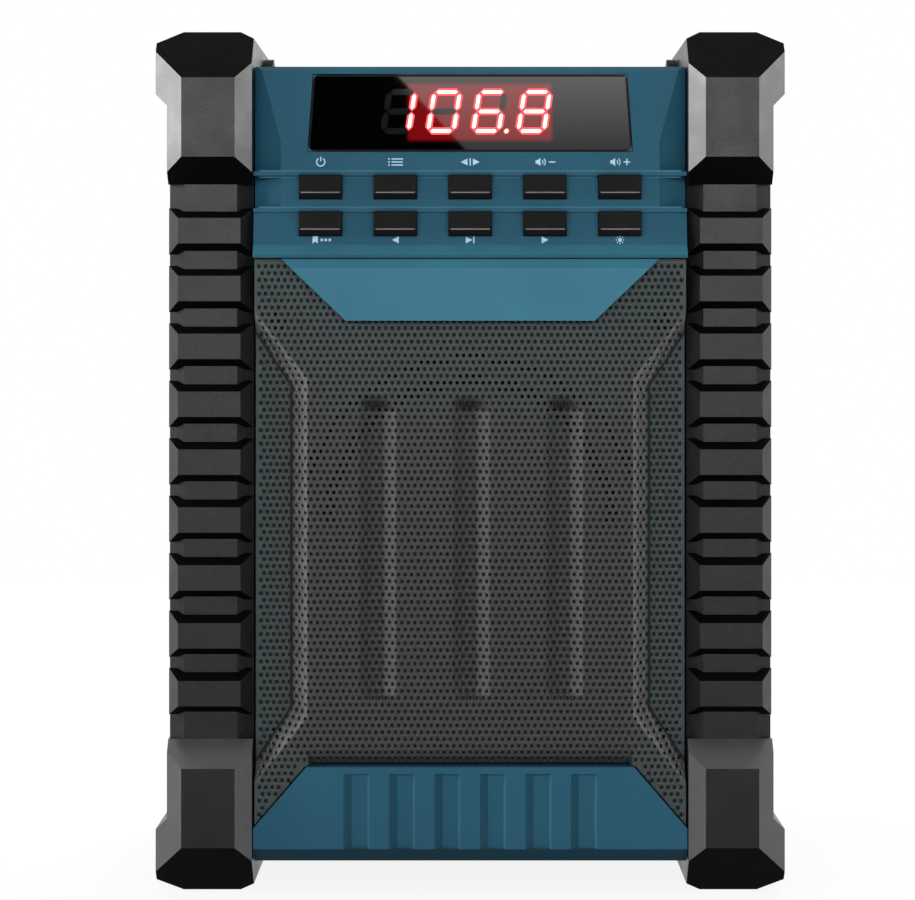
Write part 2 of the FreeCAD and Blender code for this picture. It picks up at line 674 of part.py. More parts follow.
def rear_shell():
    """The rear half of the housing: battery bay, port recess and a trough for the aerial."""
    body = piece("rear_shell")
    add(body, "block", "Y", "seam_back", "shell_back",
        box("-body_half", "housing_bottom", "body_half", "deck"))
    add(body, "sides", "Y", "seam_back", "-side_front",
        *[box(f"{side}body_half", "side_bottom", f"{side}bay_side", "side_top") for side in ("-", "")])
    cut(body, "inside", "Y", "seam_back", "shell_back - wall",
        box("-(body_half - wall)", "housing_bottom + wall", "body_half - wall", "deck - wall"))
    cut(body, "side_inside", "Y", "seam_back", "-side_front - wall",
        box("-(bay_side - wall)", "side_bottom + wall", "bay_side - wall", "deck - wall"))
    add(body, "bay_walls", "Y", "bay_front - wall", "shell_back - wall / 2",
        box("-(bay_half + wall)", "bay_low - wall", "bay_half + wall", "bay_high + wall"))
    add(body, "port_walls", "Y", "port_floor - wall", "shell_back - wall / 2",
        box("port_left - wall", "port_low - wall", "port_right + wall", "port_high + wall"))
    add(body, "trough_walls", "Y", "shell_back - knuckle_radius - 2 * wall", "shell_back - wall / 2",
        box("mast_x - knuckle_radius - 2 * wall - ear_thickness", "mast_pivot - knuckle_radius - 2 * wall",
            "mast_x + knuckle_radius + 2 * wall + ear_thickness", "deck - wall / 2"))
    add(body, "door_seat", "Y", "shell_back - door_thickness - fit_gap - 2 * wall", "shell_back - wall / 2",
        box("-(bay_half + door_margin + wall)", "bay_low - door_margin - wall",
            "bay_half + door_margin + wall", "bay_high + door_margin + wall"))
    for index, (x, z) in enumerate(screw_places()):
        add(body, f"boss_{index}", "Y", "seam_back", "shell_back - wall / 2", disc(x, z, "boss_radius"))
    for index, (a, b) in enumerate((a, b) for a in ("-", "") for b in ("low +", "high -")):
        add(body, f"board_post_{index}", "Y", "board_place + board_thickness", "shell_back - wall / 2",
            disc(f"{a}(board_half - boss_radius)", f"board_{b} boss_radius", "board_post"))
    cut(body, "bay", "Y", "bay_front", "shell_back + wall",
        box("-bay_half", "bay_low", "bay_half", "bay_high"))
    cut(body, "door_recess", "Y", "shell_back - door_thickness - 2 * fit_gap", "shell_back + wall",
        box("-(bay_half + door_margin)", "bay_low - door_margin",
            "bay_half + door_margin", "bay_high + door_margin"))
    rooms = [box(f"{side}(barrel_spacing / 2) - barrel_length / 2 - fit_gap",
                 "hinge_height - barrel_radius - fit_gap",
                 f"{side}(barrel_spacing / 2) + barrel_length / 2 + fit_gap",
                 "hinge_height + barrel_radius + fit_gap")
             for side in ("-", "")]
    cut(body, "barrel_rooms", "Y", "hinge_back - barrel_radius - fit_gap", "shell_back + wall", *rooms)
    cut(body, "hinge_pin_hole", "X",
        "-(bay_half + door_margin + pin_bite)", "bay_half + door_margin + pin_bite",
        disc("hinge_back", "hinge_height", "pin_radius + pin_gap"))
    cut(body, "port_recess", "Y", "port_floor", "shell_back + wall",
        box("port_left", "port_low", "port_right", "port_high"))
    cut(body, "flap_recess", "Y", "shell_back - flap_thickness", "shell_back + wall",
        box("port_left - flap_margin", "port_low - flap_margin",
            "port_right + flap_margin", "port_high + flap_margin"))
    cut(body, "socket_holes", "Y", "port_floor - wall", "port_floor",
        disc("port_left + socket_inset", "port_middle", "socket_radius + slide_gap"),
        disc("port_right - socket_inset", "port_middle", "socket_radius + slide_gap"),
        box("(port_left + port_right) / 2 - usb_width / 2 - slide_gap",
            "port_middle - usb_height / 2 - slide_gap",
            "(port_left + port_right) / 2 + usb_width / 2 + slide_gap",
            "port_middle + usb_height / 2 + slide_gap"))
    cut(body, "trough", "Y", "shell_back - knuckle_radius - wall", "shell_back + wall",
        box("mast_x - knuckle_radius - fit_gap", "mast_pivot + knuckle_radius",
            "mast_x + knuckle_radius + fit_gap", "deck + wall"))
    cut(body, "ear_room", "Y", "shell_back - knuckle_radius - wall", "shell_back + wall",
        box("mast_x - knuckle_width / 2 - ear_thickness - wall", "mast_pivot - knuckle_radius - wall",
            "mast_x + knuckle_width / 2 + ear_thickness + wall", "mast_pivot + knuckle_radius + wall"))
    cut(body, "screw_wells", "Y", "case_screw_seat", "shell_back + wall",
        *[disc(x, z, "screw_head + slide_gap") for x, z in screw_places()])
    cut(body, "screw_holes", "Y", "seam_back", "case_screw_seat",
        *[disc(x, z, "screw_shank + pin_gap") for x, z in screw_places()])
    return body


def shell_seal():
    """The gasket in the seam between the two halves."""
    body = piece("shell_seal")
    add(body, "rim", "Y", "seam_front", "seam_back",
        box("-(body_half - seal_inset)", "housing_bottom + seal_inset",
            "body_half - seal_inset", "deck - seal_inset"))
    add(body, "rim_sides", "Y", "seam_front", "seam_back",
        *[box(f"{side}(body_half - seal_inset)", "side_bottom + seal_inset",
              f"{side}(bay_side - seal_inset)", "side_top - seal_inset") for side in ("-", "")])
    cut(body, "middle", "Y", "seam_front", "seam_back",
        box("-(body_half - wall + seal_inset)", "housing_bottom + wall - seal_inset",
            "body_half - wall + seal_inset", "deck - wall + seal_inset"))
    cut(body, "side_middle", "Y", "seam_front", "seam_back",
        box("-(bay_side - wall + seal_inset)", "side_bottom + wall - seal_inset",
            "bay_side - wall + seal_inset", "deck - wall + seal_inset"))
    return body


def channel_segment(place):
    """The metal round one pressed channel, behind the plateau's front skin."""
    half = "channel_width / 2"
    x = f"{place} * channel_spacing"
    bottom = "grille_front + channel_depth + sheet_thickness"
    return polygon((f"{x} - {half} - sheet_thickness", "grille_front + sheet_thickness / 2"),
                   (f"{x} + {half} + sheet_thickness", "grille_front + sheet_thickness / 2"),
                   (f"{x} + {half} / 2", bottom), (f"{x} - {half} / 2", bottom))


def grille():
    """The pressed speaker sheet: raised plateau, two side pockets and three long channels."""
    body = piece("grille")
    add(body, "blank", "Y", "grille_front", "grille_back",
        polygon(("-(body_half - fit_gap)", "base_side_height + 3 * fit_gap"),
                ("-body_half + fit_gap", "grille_top"), ("body_half - fit_gap", "grille_top"),
                ("body_half - fit_gap", "base_side_height + 3 * fit_gap"),
                ("base_shoulder + fit_gap", "grille_low"), ("-base_shoulder - fit_gap", "grille_low")))
    for side in ("-", ""):
        taper(body, f"side_pocket_{len(side)}", ("grille_front", polygon(
            (f"{side}(body_half + wall)", "pocket_bottom - pocket_corner"),
            (f"{side}(body_half + wall)", "pocket_top + pocket_corner"),
            (f"{side}pocket_inner", "pocket_top - pocket_corner"),
            (f"{side}pocket_inner", "pocket_bottom + pocket_corner"))), ("front + pocket_depth", polygon(
                (f"{side}(body_half + wall)", "pocket_bottom - pocket_corner + pocket_slope"),
                (f"{side}(body_half + wall)", "pocket_top + pocket_corner - pocket_slope"),
                (f"{side}(pocket_inner + pocket_slope)", "pocket_top - pocket_corner - pocket_slope / 2"),
                (f"{side}(pocket_inner + pocket_slope)",
                 "pocket_bottom + pocket_corner + pocket_slope / 2"))))
    skin = "grille_front + sheet_thickness"
    low, high = "grille_low + sheet_thickness", "grille_top - sheet_thickness"
    narrow, wide = "pocket_inner - sheet_thickness", "pocket_inner + pocket_slope - sheet_thickness"
    taper(body, "hollow", (skin, box(f"-({narrow})", low, narrow, high)),
          ("grille_back", box(f"-({wide})", low, wide, high)))
    cut(body, "shoulder_hollow", "Y", skin, "grille_back",
        box("-(body_half - fit_gap - sheet_thickness)", "pocket_top + pocket_corner",
            "body_half - fit_gap - sheet_thickness", high))
    radius = "((channel_width / 2) ^ 2 + channel_depth ^ 2) / (2 * channel_depth)"
    for index, place in enumerate((-1, 0, 1)):
        add(body, f"channel_{index}", "Z", "channel_low - sheet_thickness", "channel_high + sheet_thickness",
            channel_segment(place))
        cut(body, f"channel_bore_{index}", "Z", "channel_low", "channel_high",
            disc(f"{place} * channel_spacing", f"grille_front + channel_depth - {radius}", radius))
    return body


def face_pieces():
    """The cloth behind the grille and the plate on its nose."""
    cloth = piece("grille_cloth")
    add(cloth, "sheet", "Y", "grille_back", "floor_front",
        box("-(body_half - wall)", "grille_low + wall", "body_half - wall", "grille_top - wall"))
    nose = piece("nose_plate")
    add(nose, "plate", "Y", "front + nose_depth", "grille_front", polygon(
        ("-nose_low_half", "nose_low"), ("nose_low_half", "nose_low"),
        ("nose_top_half", "grille_top"), ("-nose_top_half", "grille_top")))
    cut(nose, "top_bevel", "X", "-nose_top_half", "nose_top_half", polygon(
        ("front + nose_depth", "grille_top - nose_bevel"),
        ("front + nose_depth + nose_bevel / 2", "grille_top"),
        ("front + nose_depth", "grille_top")))


def display():
    """The dark pane and the digit module behind it."""
    pane = piece("display_window")
    add(pane, "pane", "Y", "front", "glass_seat", polygon(
        ("-glass_low_half", "glass_low"), ("glass_low_half", "glass_low"),
        ("glass_high_half", "glass_high"), ("-glass_high_half", "glass_high")))
    slope = "(rim_depth - facet_depth + ledge_reach / 2) / (rim_height - rim_round - facet_low)"
    cut(pane, "face", "X", "-glass_low_half", "glass_low_half", polygon(
        ("front - wall", "glass_low - wall"),
        (f"front + facet_depth - ledge_reach / 2 + glass_inset + {slope} * (glass_low - wall - facet_low)",
         "glass_low - wall"),
        (f"front + facet_depth - ledge_reach / 2 + glass_inset + {slope} * (glass_high + wall - facet_low)",
         "glass_high + wall"),
        ("front - wall", "glass_high + wall")))
    module = piece("display_module")
    add(module, "case", "Y", "glass_seat + slide_gap", "mat_back",
        box("-module_half", "glass_low + module_inset", "module_half", "glass_high - module_inset"))
    mat = piece("key_mat")
    add(mat, "sheet", "Y", "mat_front", "mat_back",
        box("-mat_half", "lip_height + wall + fit_gap", "mat_half", "ledge_height_1 + wall - fit_gap"))
    board = piece("control_board")
    add(board, "sheet", "Y", "mat_back", "panel_board_back",
        box("-mat_half", "lip_height + wall + fit_gap", "mat_half", "rim_height - wall - fit_gap"))


def key(label, column, row):
    """One push key: a bevelled cap through the panel, and the flange that keeps it in."""
    body = piece(label)
    x = f"{column} * key_pitch"
    z = f"key_row_{row}"
    panel = "shelf_depth" if row == 2 else "facet_depth - ledge_reach / 2"
    face = f"front + {panel} - key_reach"
    add(body, "cap", "X", f"{x} - key_width / 2", f"{x} + key_width / 2", polygon(
        ("key_cavity + key_flange_thickness", f"{z} - key_height / 2"),
        (f"{face} + key_bevel", f"{z} - key_height / 2"),
        (face, f"{z} - key_height / 2 + key_bevel"),
        (f"{face} + key_edge", f"{z} + key_height / 2 - key_edge"),
        (f"{face} + 2 * key_edge", f"{z} + key_height / 2"),
        ("key_cavity + key_flange_thickness", f"{z} + key_height / 2")))
    add(body, "flange", "Y", "key_cavity", "key_cavity + key_flange_thickness", box(
        f"{x} - key_width / 2 - key_flange", f"{z} - key_height / 2 - key_flange",
        f"{x} + key_width / 2 + key_flange", f"{z} + key_height / 2 + key_flange"))
    return body


def keys():
    names = (("power", "mode", "scan", "volume_down", "volume_up"),
             ("preset", "previous", "play", "next", "dimmer"))
    for row, labels in enumerate(names, start=1):
        for column, label in enumerate(labels, start=-2):
            key(f"button_{label}", column, row)


def speaker():
    """The driver: basket, magnet, flexible rings, and the moving cone with its cap and coil."""
    def ring_piece(label, *outlines):
        body = piece(label)
        turn(body, "turned", "Y", *outlines)
        bind(body, "Placement.Base.z", "speaker_height")
        return body

    seat = "floor_back"
    plate = f"{seat} + basket_plate"
    frame_back = f"{seat} + frame_depth"
    neck = "magnet_radius - frame_thickness"
    basket = ring_piece("speaker_basket", polygon(
        (seat, "basket_rim"), (plate, "basket_rim"), (plate, "speaker_hole + frame_thickness"),
        (frame_back, "magnet_radius"), (frame_back, f"{neck} - 3 * frame_thickness"),
        (f"{frame_back} - frame_thickness", f"{neck} - 3 * frame_thickness"),
        (f"{frame_back} - frame_thickness", neck), (plate, "speaker_hole - frame_thickness"),
        (seat, "speaker_hole - frame_thickness")))
    cut(basket, "windows", "Y", f"{plate} + frame_thickness", f"{frame_back} - 2 * frame_thickness",
        box("-basket_window", "-basket_rim", "basket_window", "-basket_window"),
        box("-basket_window", "basket_window", "basket_window", "basket_rim"),
        box("-basket_rim", "-basket_window", "-basket_window", "basket_window"),
        box("basket_window", "-basket_window", "basket_rim", "basket_window"))
    cut(basket, "bolt_holes", "Y", seat, plate, *[
        disc(f"{a}bolt_spread", f"{b}bolt_spread", "small_shank + pin_gap")
        for a in ("-", "") for b in ("-", "")])
    coil_outer = "cone_inner + coil_wall"
    ring_piece("speaker_magnet",
               polygon((frame_back, f"{coil_outer} + coil_gap"), (frame_back, "magnet_radius"),
                       (f"{frame_back} + magnet_height", "magnet_radius"),
                       (f"{frame_back} + magnet_height", "0"),
                       (f"{frame_back} - frame_thickness", "0"),
                       (f"{frame_back} - frame_thickness", "cone_inner - coil_gap"),
                       (f"{frame_back} + magnet_height - plate_height", "cone_inner - coil_gap"),
                       (f"{frame_back} + magnet_height - plate_height", f"{coil_outer} + coil_gap")))
    cone_front = f"{seat} + basket_plate"
    cone_back = f"{cone_front} + cone_drop"
    ring_piece("speaker_cone", polygon(
        (cone_front, "cone_outer"), (f"{cone_front} + cone_thickness", "cone_outer"),
        (f"{cone_back} + cone_thickness", f"{coil_outer}"), (f"{cone_back} + cone_thickness", "cone_inner"),
        (cone_back, "cone_inner"), (cone_front, "cone_outer - cone_thickness")))
    ring_piece("voice_coil", polygon(
        (f"{cone_back} + cone_thickness", "cone_inner"), (f"{cone_back} + cone_thickness", coil_outer),
        (f"{cone_back} + coil_length", coil_outer), (f"{cone_back} + coil_length", "cone_inner")))
    ring_piece("dust_cap", polygon(
        (f"{cone_back} - cap_height", "0"), (f"{cone_back} - cap_shoulder_height", "cap_shoulder_radius"),
        (cone_back, "cone_inner"), (f"{cone_back} + cone_thickness", "cone_inner"),
        (f"{cone_back} - cap_shoulder_height + cone_thickness", "cap_shoulder_radius - cone_thickness"),
        (f"{cone_back} - cap_height + cone_thickness", "0")))
    roll = "(speaker_hole - frame_thickness - cone_outer) / 2"
    lip = f"{cone_front} - cone_thickness"
    ring_piece("speaker_surround", polygon(
        (lip, "cone_outer + fit_gap"), (f"{lip} - surround_height", f"cone_outer + {roll}"),
        (lip, "speaker_hole - frame_thickness"), (cone_front, "speaker_hole - frame_thickness"),
        (f"{cone_front} - surround_height", f"cone_outer + {roll}"), (cone_front, "cone_outer + fit_gap")))
    ring_piece("speaker_spider", polygon(
        (f"{frame_back} - 2 * frame_thickness", f"{coil_outer} + fit_gap"),
        (f"{frame_back} - 2 * frame_thickness", neck), (f"{frame_back} - frame_thickness", neck),
        (f"{frame_back} - frame_thickness", f"{coil_outer} + fit_gap")))


def screws():
    """Three sets of screws, each set one node."""
    case = piece("housing_screws")
    for index, (x, z) in enumerate(screw_places()):
        add(case, f"shank_{index}", "Y", "seam_front - case_screw_length + fit_gap", "case_screw_seat",
            disc(x, z, "screw_shank"))
        add(case, f"head_{index}", "Y", "case_screw_seat", "case_screw_seat + screw_head_height",
            disc(x, z, "screw_head"))
    small = piece("speaker_screws")
    for index, (a, b) in enumerate((a, b) for a in ("-", "") for b in ("-", "+")):
        x, z = f"{a}bolt_spread", f"speaker_height {b} bolt_spread"
        add(small, f"shank_{index}", "Y", "floor_front + wall / 2", "floor_back + basket_plate",
            disc(x, z, "small_shank"))
        add(small, f"head_{index}", "Y", "floor_back + basket_plate",
            "floor_back + basket_plate + screw_head_height", disc(x, z, "small_head"))


def battery():
    """Pack, contact block, hinged door and its pin."""
    pack = piece("battery_pack")
    add(pack, "case", "Y", "bay_front + contact_depth", "shell_back - door_thickness - 2 * fit_gap",
        box("-bay_half + fit_gap", "hinge_height + barrel_radius + fit_gap",
            "bay_half - fit_gap", "bay_high - fit_gap"))
    ease(pack, "long_edges", "Fillet", "pack_corner", lambda edge: along(edge, "Y"))
    contacts = piece("battery_contacts")
    middle = "(bay_low + bay_high) / 2"
    add(contacts, "block", "Y", "bay_front", "bay_front + contact_depth",
        box("-contact_half", f"{middle} - contact_height / 2",
            "contact_half", f"{middle} + contact_height / 2"))
    door = piece("battery_door")
    half = "(bay_half + door_margin - fit_gap)"
    top = "bay_high + door_margin - fit_gap"
    add(door, "plate", "Y", "shell_back - door_thickness", "shell_back",
        box(f"-{half}", "hinge_height", half, top))
    for index, side in enumerate(("-", "")):
        add(door, f"barrel_{index}", "X", f"{side}barrel_spacing / 2 - barrel_length / 2",
            f"{side}barrel_spacing / 2 + barrel_length / 2",
            disc("hinge_back", "hinge_height", "barrel_radius"))
    cut(door, "notch", "Y", "shell_back - notch_depth", "shell_back",
        box("-notch_half", f"{top} - notch_height", "notch_half", top))
    cut(door, "bore", "X", f"-{half}", half, disc("hinge_back", "hinge_height", "pin_radius + pin_gap"))
    pin = piece("battery_door_pin")
    add(pin, "rod", "X", "-(bay_half + door_margin + pin_bite - slide_gap)",
        "bay_half + door_margin + pin_bite - slide_gap", disc("hinge_back", "hinge_height", "pin_radius"))


def ports():
    """The circuit board, its three sockets and the rubber flap over them."""
    board = piece("main_board")
    add(board, "sheet", "Y", "board_place", "board_back",
        box("-board_half", "board_low", "board_half", "board_high"))
    aux = piece("aux_socket")
    aux_x = "port_left + socket_inset"
    add(aux, "barrel", "Y", "board_back", "port_floor", disc(aux_x, "port_middle", "socket_radius"))
    cut(aux, "bore", "Y", "board_back + wall", "port_floor", disc(aux_x, "port_middle", "aux_bore"))
    power = piece("dc_socket")
    power_x = "port_right - socket_inset"
    add(power, "barrel", "Y", "board_back", "port_floor", disc(power_x, "port_middle", "socket_radius"))
    cut(power, "bore", "Y", "board_back + wall", "port_floor",
        disc(power_x, "port_middle", "dc_bore"), disc(power_x, "port_middle", "pin_radius"))
    usb = piece("usb_socket")
    usb_x = "(port_left + port_right) / 2"
    outline = box(f"{usb_x} - usb_width / 2", "port_middle - usb_height / 2",
                  f"{usb_x} + usb_width / 2", "port_middle + usb_height / 2")
    add(usb, "case", "Y", "board_back", "port_floor", outline)
    cut(usb, "slot", "Y", "board_back + wall", "port_floor",
        box(f"{usb_x} - usb_width / 2 + sheet_thickness", "port_middle - usb_height / 2 + sheet_thickness",
            f"{usb_x} + usb_width / 2 - sheet_thickness", "port_middle + usb_height / 2 - sheet_thickness"),
        box(f"{usb_x} - usb_width / 2 + wall", "port_middle - usb_tongue / 2",
            f"{usb_x} + usb_width / 2 - wall", "port_middle + usb_tongue / 2"))
    flap = piece("port_cover")
    edge = "flap_margin - fit_gap"
    add(flap, "plate", "Y", "shell_back - flap_thickness", "shell_back",
        box(f"port_left - ({edge})", f"port_low - ({edge})", f"port_right + {edge}", f"port_high + {edge}"))
    add(flap, "plug", "Y", "shell_back - flap_thickness - flap_plug", "shell_back - flap_thickness",
        box("port_left + pin_radius", "port_low + pin_radius",
            "port_right - pin_radius", "port_high - pin_radius"),
        box("port_left + 3 * pin_radius", "port_low + 3 * pin_radius",
            "port_right - 3 * pin_radius", "port_high - 3 * pin_radius"))


def aerial():
    """A bracket with a pin, and a whip of tubes that slide inside each other."""
    bracket = piece("antenna_bracket")
    ear_inner = "knuckle_width / 2 + slide_gap"
    foot = "shell_back - knuckle_radius - wall"
    add(bracket, "foot", "Y", foot, f"{foot} + ear_foot",
        box(f"mast_x - ({ear_inner}) - ear_thickness", "mast_pivot - knuckle_radius",
            f"mast_x + {ear_inner} + ear_thickness", "mast_pivot + knuckle_radius"))
    for side in ("-", "+"):
        ends = [f"mast_x {side} ({ear_inner})", f"mast_x {side} ({ear_inner} + ear_thickness)"]
        low, high = sorted(ends, key=number)
        add(bracket, f"ear_block_{len(bracket.Group)}", "X", low, high,
            box(foot, "mast_pivot - knuckle_radius", "mast_y", "mast_pivot + knuckle_radius"))
        add(bracket, f"ear_{len(bracket.Group)}", "X", low, high,
            disc("mast_y", "mast_pivot", "knuckle_radius"))
    cut(bracket, "pin_hole", "X",
        "mast_x - knuckle_width - ear_thickness", "mast_x + knuckle_width + ear_thickness",
        disc("mast_y", "mast_pivot", "pin_radius + pin_gap"))
    pin = piece("antenna_pin")
    add(pin, "rod", "X", f"mast_x - ({ear_inner}) - ear_thickness", f"mast_x + {ear_inner} + ear_thickness",
        disc("mast_y", "mast_pivot", "pin_radius"))
    base = piece("antenna_base")
    add(base, "knuckle", "X", "mast_x - knuckle_width / 2", "mast_x + knuckle_width / 2",
        disc("mast_y", "mast_pivot", "knuckle_radius"))
    add(base, "neck", "X", "mast_x - knuckle_width / 2", "mast_x + knuckle_width / 2",
        box("mast_y - knuckle_width / 2", "mast_pivot", "mast_y + knuckle_width / 2", "mast_low - fit_gap"))
    cut(base, "bore", "X", "mast_x - knuckle_width / 2", "mast_x + knuckle_width / 2",
        disc("mast_y", "mast_pivot", "pin_radius + pin_gap"))
    add(base, "collar", "Z", "mast_pivot + knuckle_radius + fit_gap", "mast_low",
        disc("mast_x", "mast_y", "mast_radius + tube_wall"))
    last = SIZES["mast_tubes"] - 1
    for index in range(last + 1):
        tube = piece(f"antenna_section_{index + 1}")
        outer = f"mast_radius - {index} * (tube_wall + pin_gap)"
        rings = [disc("mast_x", "mast_y", outer)]
        if index < last:
            rings.append(disc("mast_x", "mast_y", f"{outer} - tube_wall"))
        add(tube, "tube", "Z", f"mast_low + {index} * mast_nest",
            f"mast_low + mast_length + {index} * mast_step", *rings)
    tip = piece("antenna_tip")
    top = "overall_height - mast_drop - tip_height"
    add(tip, "knob", "Z", top, f"{top} + tip_height", disc("mast_x", "mast_y", "tip_radius"))
    ease(tip, "dome", "Chamfer", "tip_bevel", lambda edge: edge.BoundBox.ZLength < edge.BoundBox.XLength / 9)


def handle():
    """The fold-down carry handle, its soft sleeve and the two pivot bolts."""
    body = piece("carry_handle")
    half = "arm_width / 2"
    for index, (low, high) in enumerate((("-arm_outer", "-arm_inner"), ("arm_inner", "arm_outer"))):
        add(body, f"arm_{index}", "X", low, high, polygon(
            ("handle_pivot_y", f"handle_pivot_height + {half}"),
            ("handle_pivot_y", f"handle_pivot_height - {half}"),
            ("grip_y", f"grip_z - {half}"), ("grip_y", f"grip_z + {half}")))
        add(body, f"hub_{index}", "X", low, high, disc("handle_pivot_y", "handle_pivot_height", "hub_radius"))
        add(body, f"eye_{index}", "X", low, high, disc("grip_y", "grip_z", "grip_radius"))
    add(body, "bar", "X", "-arm_outer", "arm_outer", disc("grip_y", "grip_z", "grip_radius"))
    cut(body, "pivot_holes", "X", "-arm_outer", "arm_outer",
        disc("handle_pivot_y", "handle_pivot_height", "pivot_radius + pin_gap"))
    sleeve = piece("handle_grip")
    add(sleeve, "sleeve", "X", "-sleeve_half", "sleeve_half", disc("grip_y", "grip_z", "sleeve_radius"),
        disc("grip_y", "grip_z", "grip_radius + pin_gap"))
    bolts = piece("handle_pivots")
    centre = ("handle_pivot_y", "handle_pivot_height")
    outer, inner, head = "guard_inner + pivot_bite - fit_gap", "arm_inner", "arm_inner - pivot_head_height"
    for index, side in enumerate(("-", "")):
        ends = (f"-({outer})", f"-{inner}") if side else (inner, outer)
        add(bolts, f"shank_{index}", "X", *ends, disc(*centre, "pivot_radius"))
        ends = (f"-{inner}", f"-({head})") if side else (head, inner)
        add(bolts, f"head_{index}", "X", *ends, disc(*centre, "pivot_head"))


corner_guards()
front_shell()
rear_shell()
shell_seal()
grille()
face_pieces()
display()
keys()
speaker()
screws()
battery()
ports()
aerial()
handle()

doc.recompute()
for item in doc.Objects:
    if {"Invalid", "Error"} & set(item.State):
        raise RuntimeError(f"{item.Label}: {item.State}")
for node in nodes:
    if node.Shape.isNull() or not node.Shape.isValid():
        raise RuntimeError(f"{node.Label} has no valid shape")
    node.Shape.exportStep(f"parts/{node.Label}.step")
    print(node.Label, len(node.Shape.Solids), round(node.Shape.Volume))
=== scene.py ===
import math

import bmesh
import bpy
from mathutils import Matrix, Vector
from mathutils.bvhtree import BVHTree


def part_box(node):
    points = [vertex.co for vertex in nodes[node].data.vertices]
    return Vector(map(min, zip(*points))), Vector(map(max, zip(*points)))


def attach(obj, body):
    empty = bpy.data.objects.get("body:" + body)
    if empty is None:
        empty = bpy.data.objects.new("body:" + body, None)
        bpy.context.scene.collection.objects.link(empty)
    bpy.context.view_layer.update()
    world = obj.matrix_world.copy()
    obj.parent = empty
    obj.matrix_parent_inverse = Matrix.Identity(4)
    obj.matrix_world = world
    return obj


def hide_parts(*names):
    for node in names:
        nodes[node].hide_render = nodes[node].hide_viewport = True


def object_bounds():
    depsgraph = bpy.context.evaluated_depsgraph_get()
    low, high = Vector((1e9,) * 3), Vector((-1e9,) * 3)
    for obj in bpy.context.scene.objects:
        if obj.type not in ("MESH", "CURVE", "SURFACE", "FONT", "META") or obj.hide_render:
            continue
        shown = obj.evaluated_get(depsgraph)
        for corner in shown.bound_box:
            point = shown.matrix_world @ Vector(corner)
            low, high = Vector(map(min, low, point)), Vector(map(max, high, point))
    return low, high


# A compact jobsite radio between four corner guards; -Y is the front and +Z is up.
# Sizes are in millimetres and go through MM. A "depth" is measured back from the guards' front plane.
MM = 0.001
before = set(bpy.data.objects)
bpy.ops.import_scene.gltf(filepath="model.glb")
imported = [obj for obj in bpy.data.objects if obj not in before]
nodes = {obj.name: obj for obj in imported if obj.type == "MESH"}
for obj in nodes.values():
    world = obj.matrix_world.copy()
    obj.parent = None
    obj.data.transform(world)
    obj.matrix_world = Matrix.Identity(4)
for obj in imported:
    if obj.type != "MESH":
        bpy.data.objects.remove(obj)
cad_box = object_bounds()
FRONT = cad_box[0][1] / MM


def edge(node, corner, axis):
    """One face of a CAD node's box, in millimetres."""
    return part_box(node)[corner][axis] / MM


def metres(point):
    """A point or a size in millimetres as one in metres."""
    return tuple(value * MM for value in point)


# Camera at the photograph's angle; a row or a column is counted in the photograph's pixels

FRAME_WIDTH, FRAME_HEIGHT = 915, 900
PIXEL = 0.275
VIEW_DISTANCE = 770
EYE_HEIGHT = 151
EYE_COLUMN, EYE_ROW = 470.2, 350
SENSOR = 36


def camera():
    """A level camera whose shift puts the radio where the photograph has it."""
    data = bpy.data.cameras.new("photo_camera")
    data.sensor_width = SENSOR
    data.lens = SENSOR * VIEW_DISTANCE / (FRAME_WIDTH * PIXEL)
    data.shift_x = (FRAME_WIDTH / 2 - EYE_COLUMN) / FRAME_WIDTH
    data.shift_y = (EYE_ROW - FRAME_HEIGHT / 2) / FRAME_WIDTH
    made = bpy.data.objects.new("photo_camera", data)
    made.location = (0, (FRONT - VIEW_DISTANCE) * MM, EYE_HEIGHT * MM)
    made.rotation_euler = (math.pi / 2, 0, 0)
    bpy.context.scene.collection.objects.link(made)
    bpy.context.scene.camera = made
    bpy.context.scene.view_settings.view_transform = "Standard"


# The forms of the speaker sheet that its paint follows too

POCKET_INNER, POCKET_OUTER = 44.9, 62.6
POCKET_LOW, POCKET_TOP = 38, 154.4
POCKET_SLOPE = 4.7
POCKET_DEPTH = 6.2
POCKET_CORNER = 11
CHANNEL_SPACING = 25.9
CHANNEL_CENTRES = [place * CHANNEL_SPACING for place in (-1, 0, 1)]
CHANNEL_LOW, CHANNEL_TOP = 54.5, 135.8
CHANNEL_HALF = 5
CHANNEL_DEPTH = 2.6
CHANNEL_END = 6


def wall_line(inner, inner_z, outer_z):
    """A slanted line over a pocket, as its rise per millimetre outward and its height at x = 0."""
    rise = (outer_z - inner_z) / (POCKET_OUTER - inner)
    return rise, inner_z - rise * inner


def pocket_end(way, level):
    """The brim and the foot of a pocket's upper wall, way 1, or lower wall, way -1."""
    brim = wall_line(POCKET_INNER, level - way * POCKET_CORNER, level + way * POCKET_CORNER)
    foot = wall_line(POCKET_INNER + POCKET_SLOPE, level - way * (POCKET_CORNER + POCKET_SLOPE / 2),
                     level + way * (POCKET_CORNER - POCKET_SLOPE))
    return brim, foot


POCKET_ENDS = (pocket_end(1, POCKET_TOP), pocket_end(-1, POCKET_LOW))


# Materials

NOISE_LOW, NOISE_HIGH = 0.3, 0.7
GLOSS_SCALE = 140
GLOSS_SPREAD = 0.05
GRAIN_DEPTH = 0.2
FINE_DEPTH = 0.1
# The mix node's colour sockets, which share their names with others
MIX_FIRST, MIX_SECOND, MIX_RESULT = 6, 7, 2


def linear(red, green, blue):
    """An sRGB colour of 0 to 255 as a linear colour with full alpha."""
    def one(value):
        """One channel of it."""
        share = value / 255
        return share / 12.92 if share <= 0.04045 else ((share + 0.055) / 1.055) ** 2.4
    return one(red), one(green), one(blue), 1


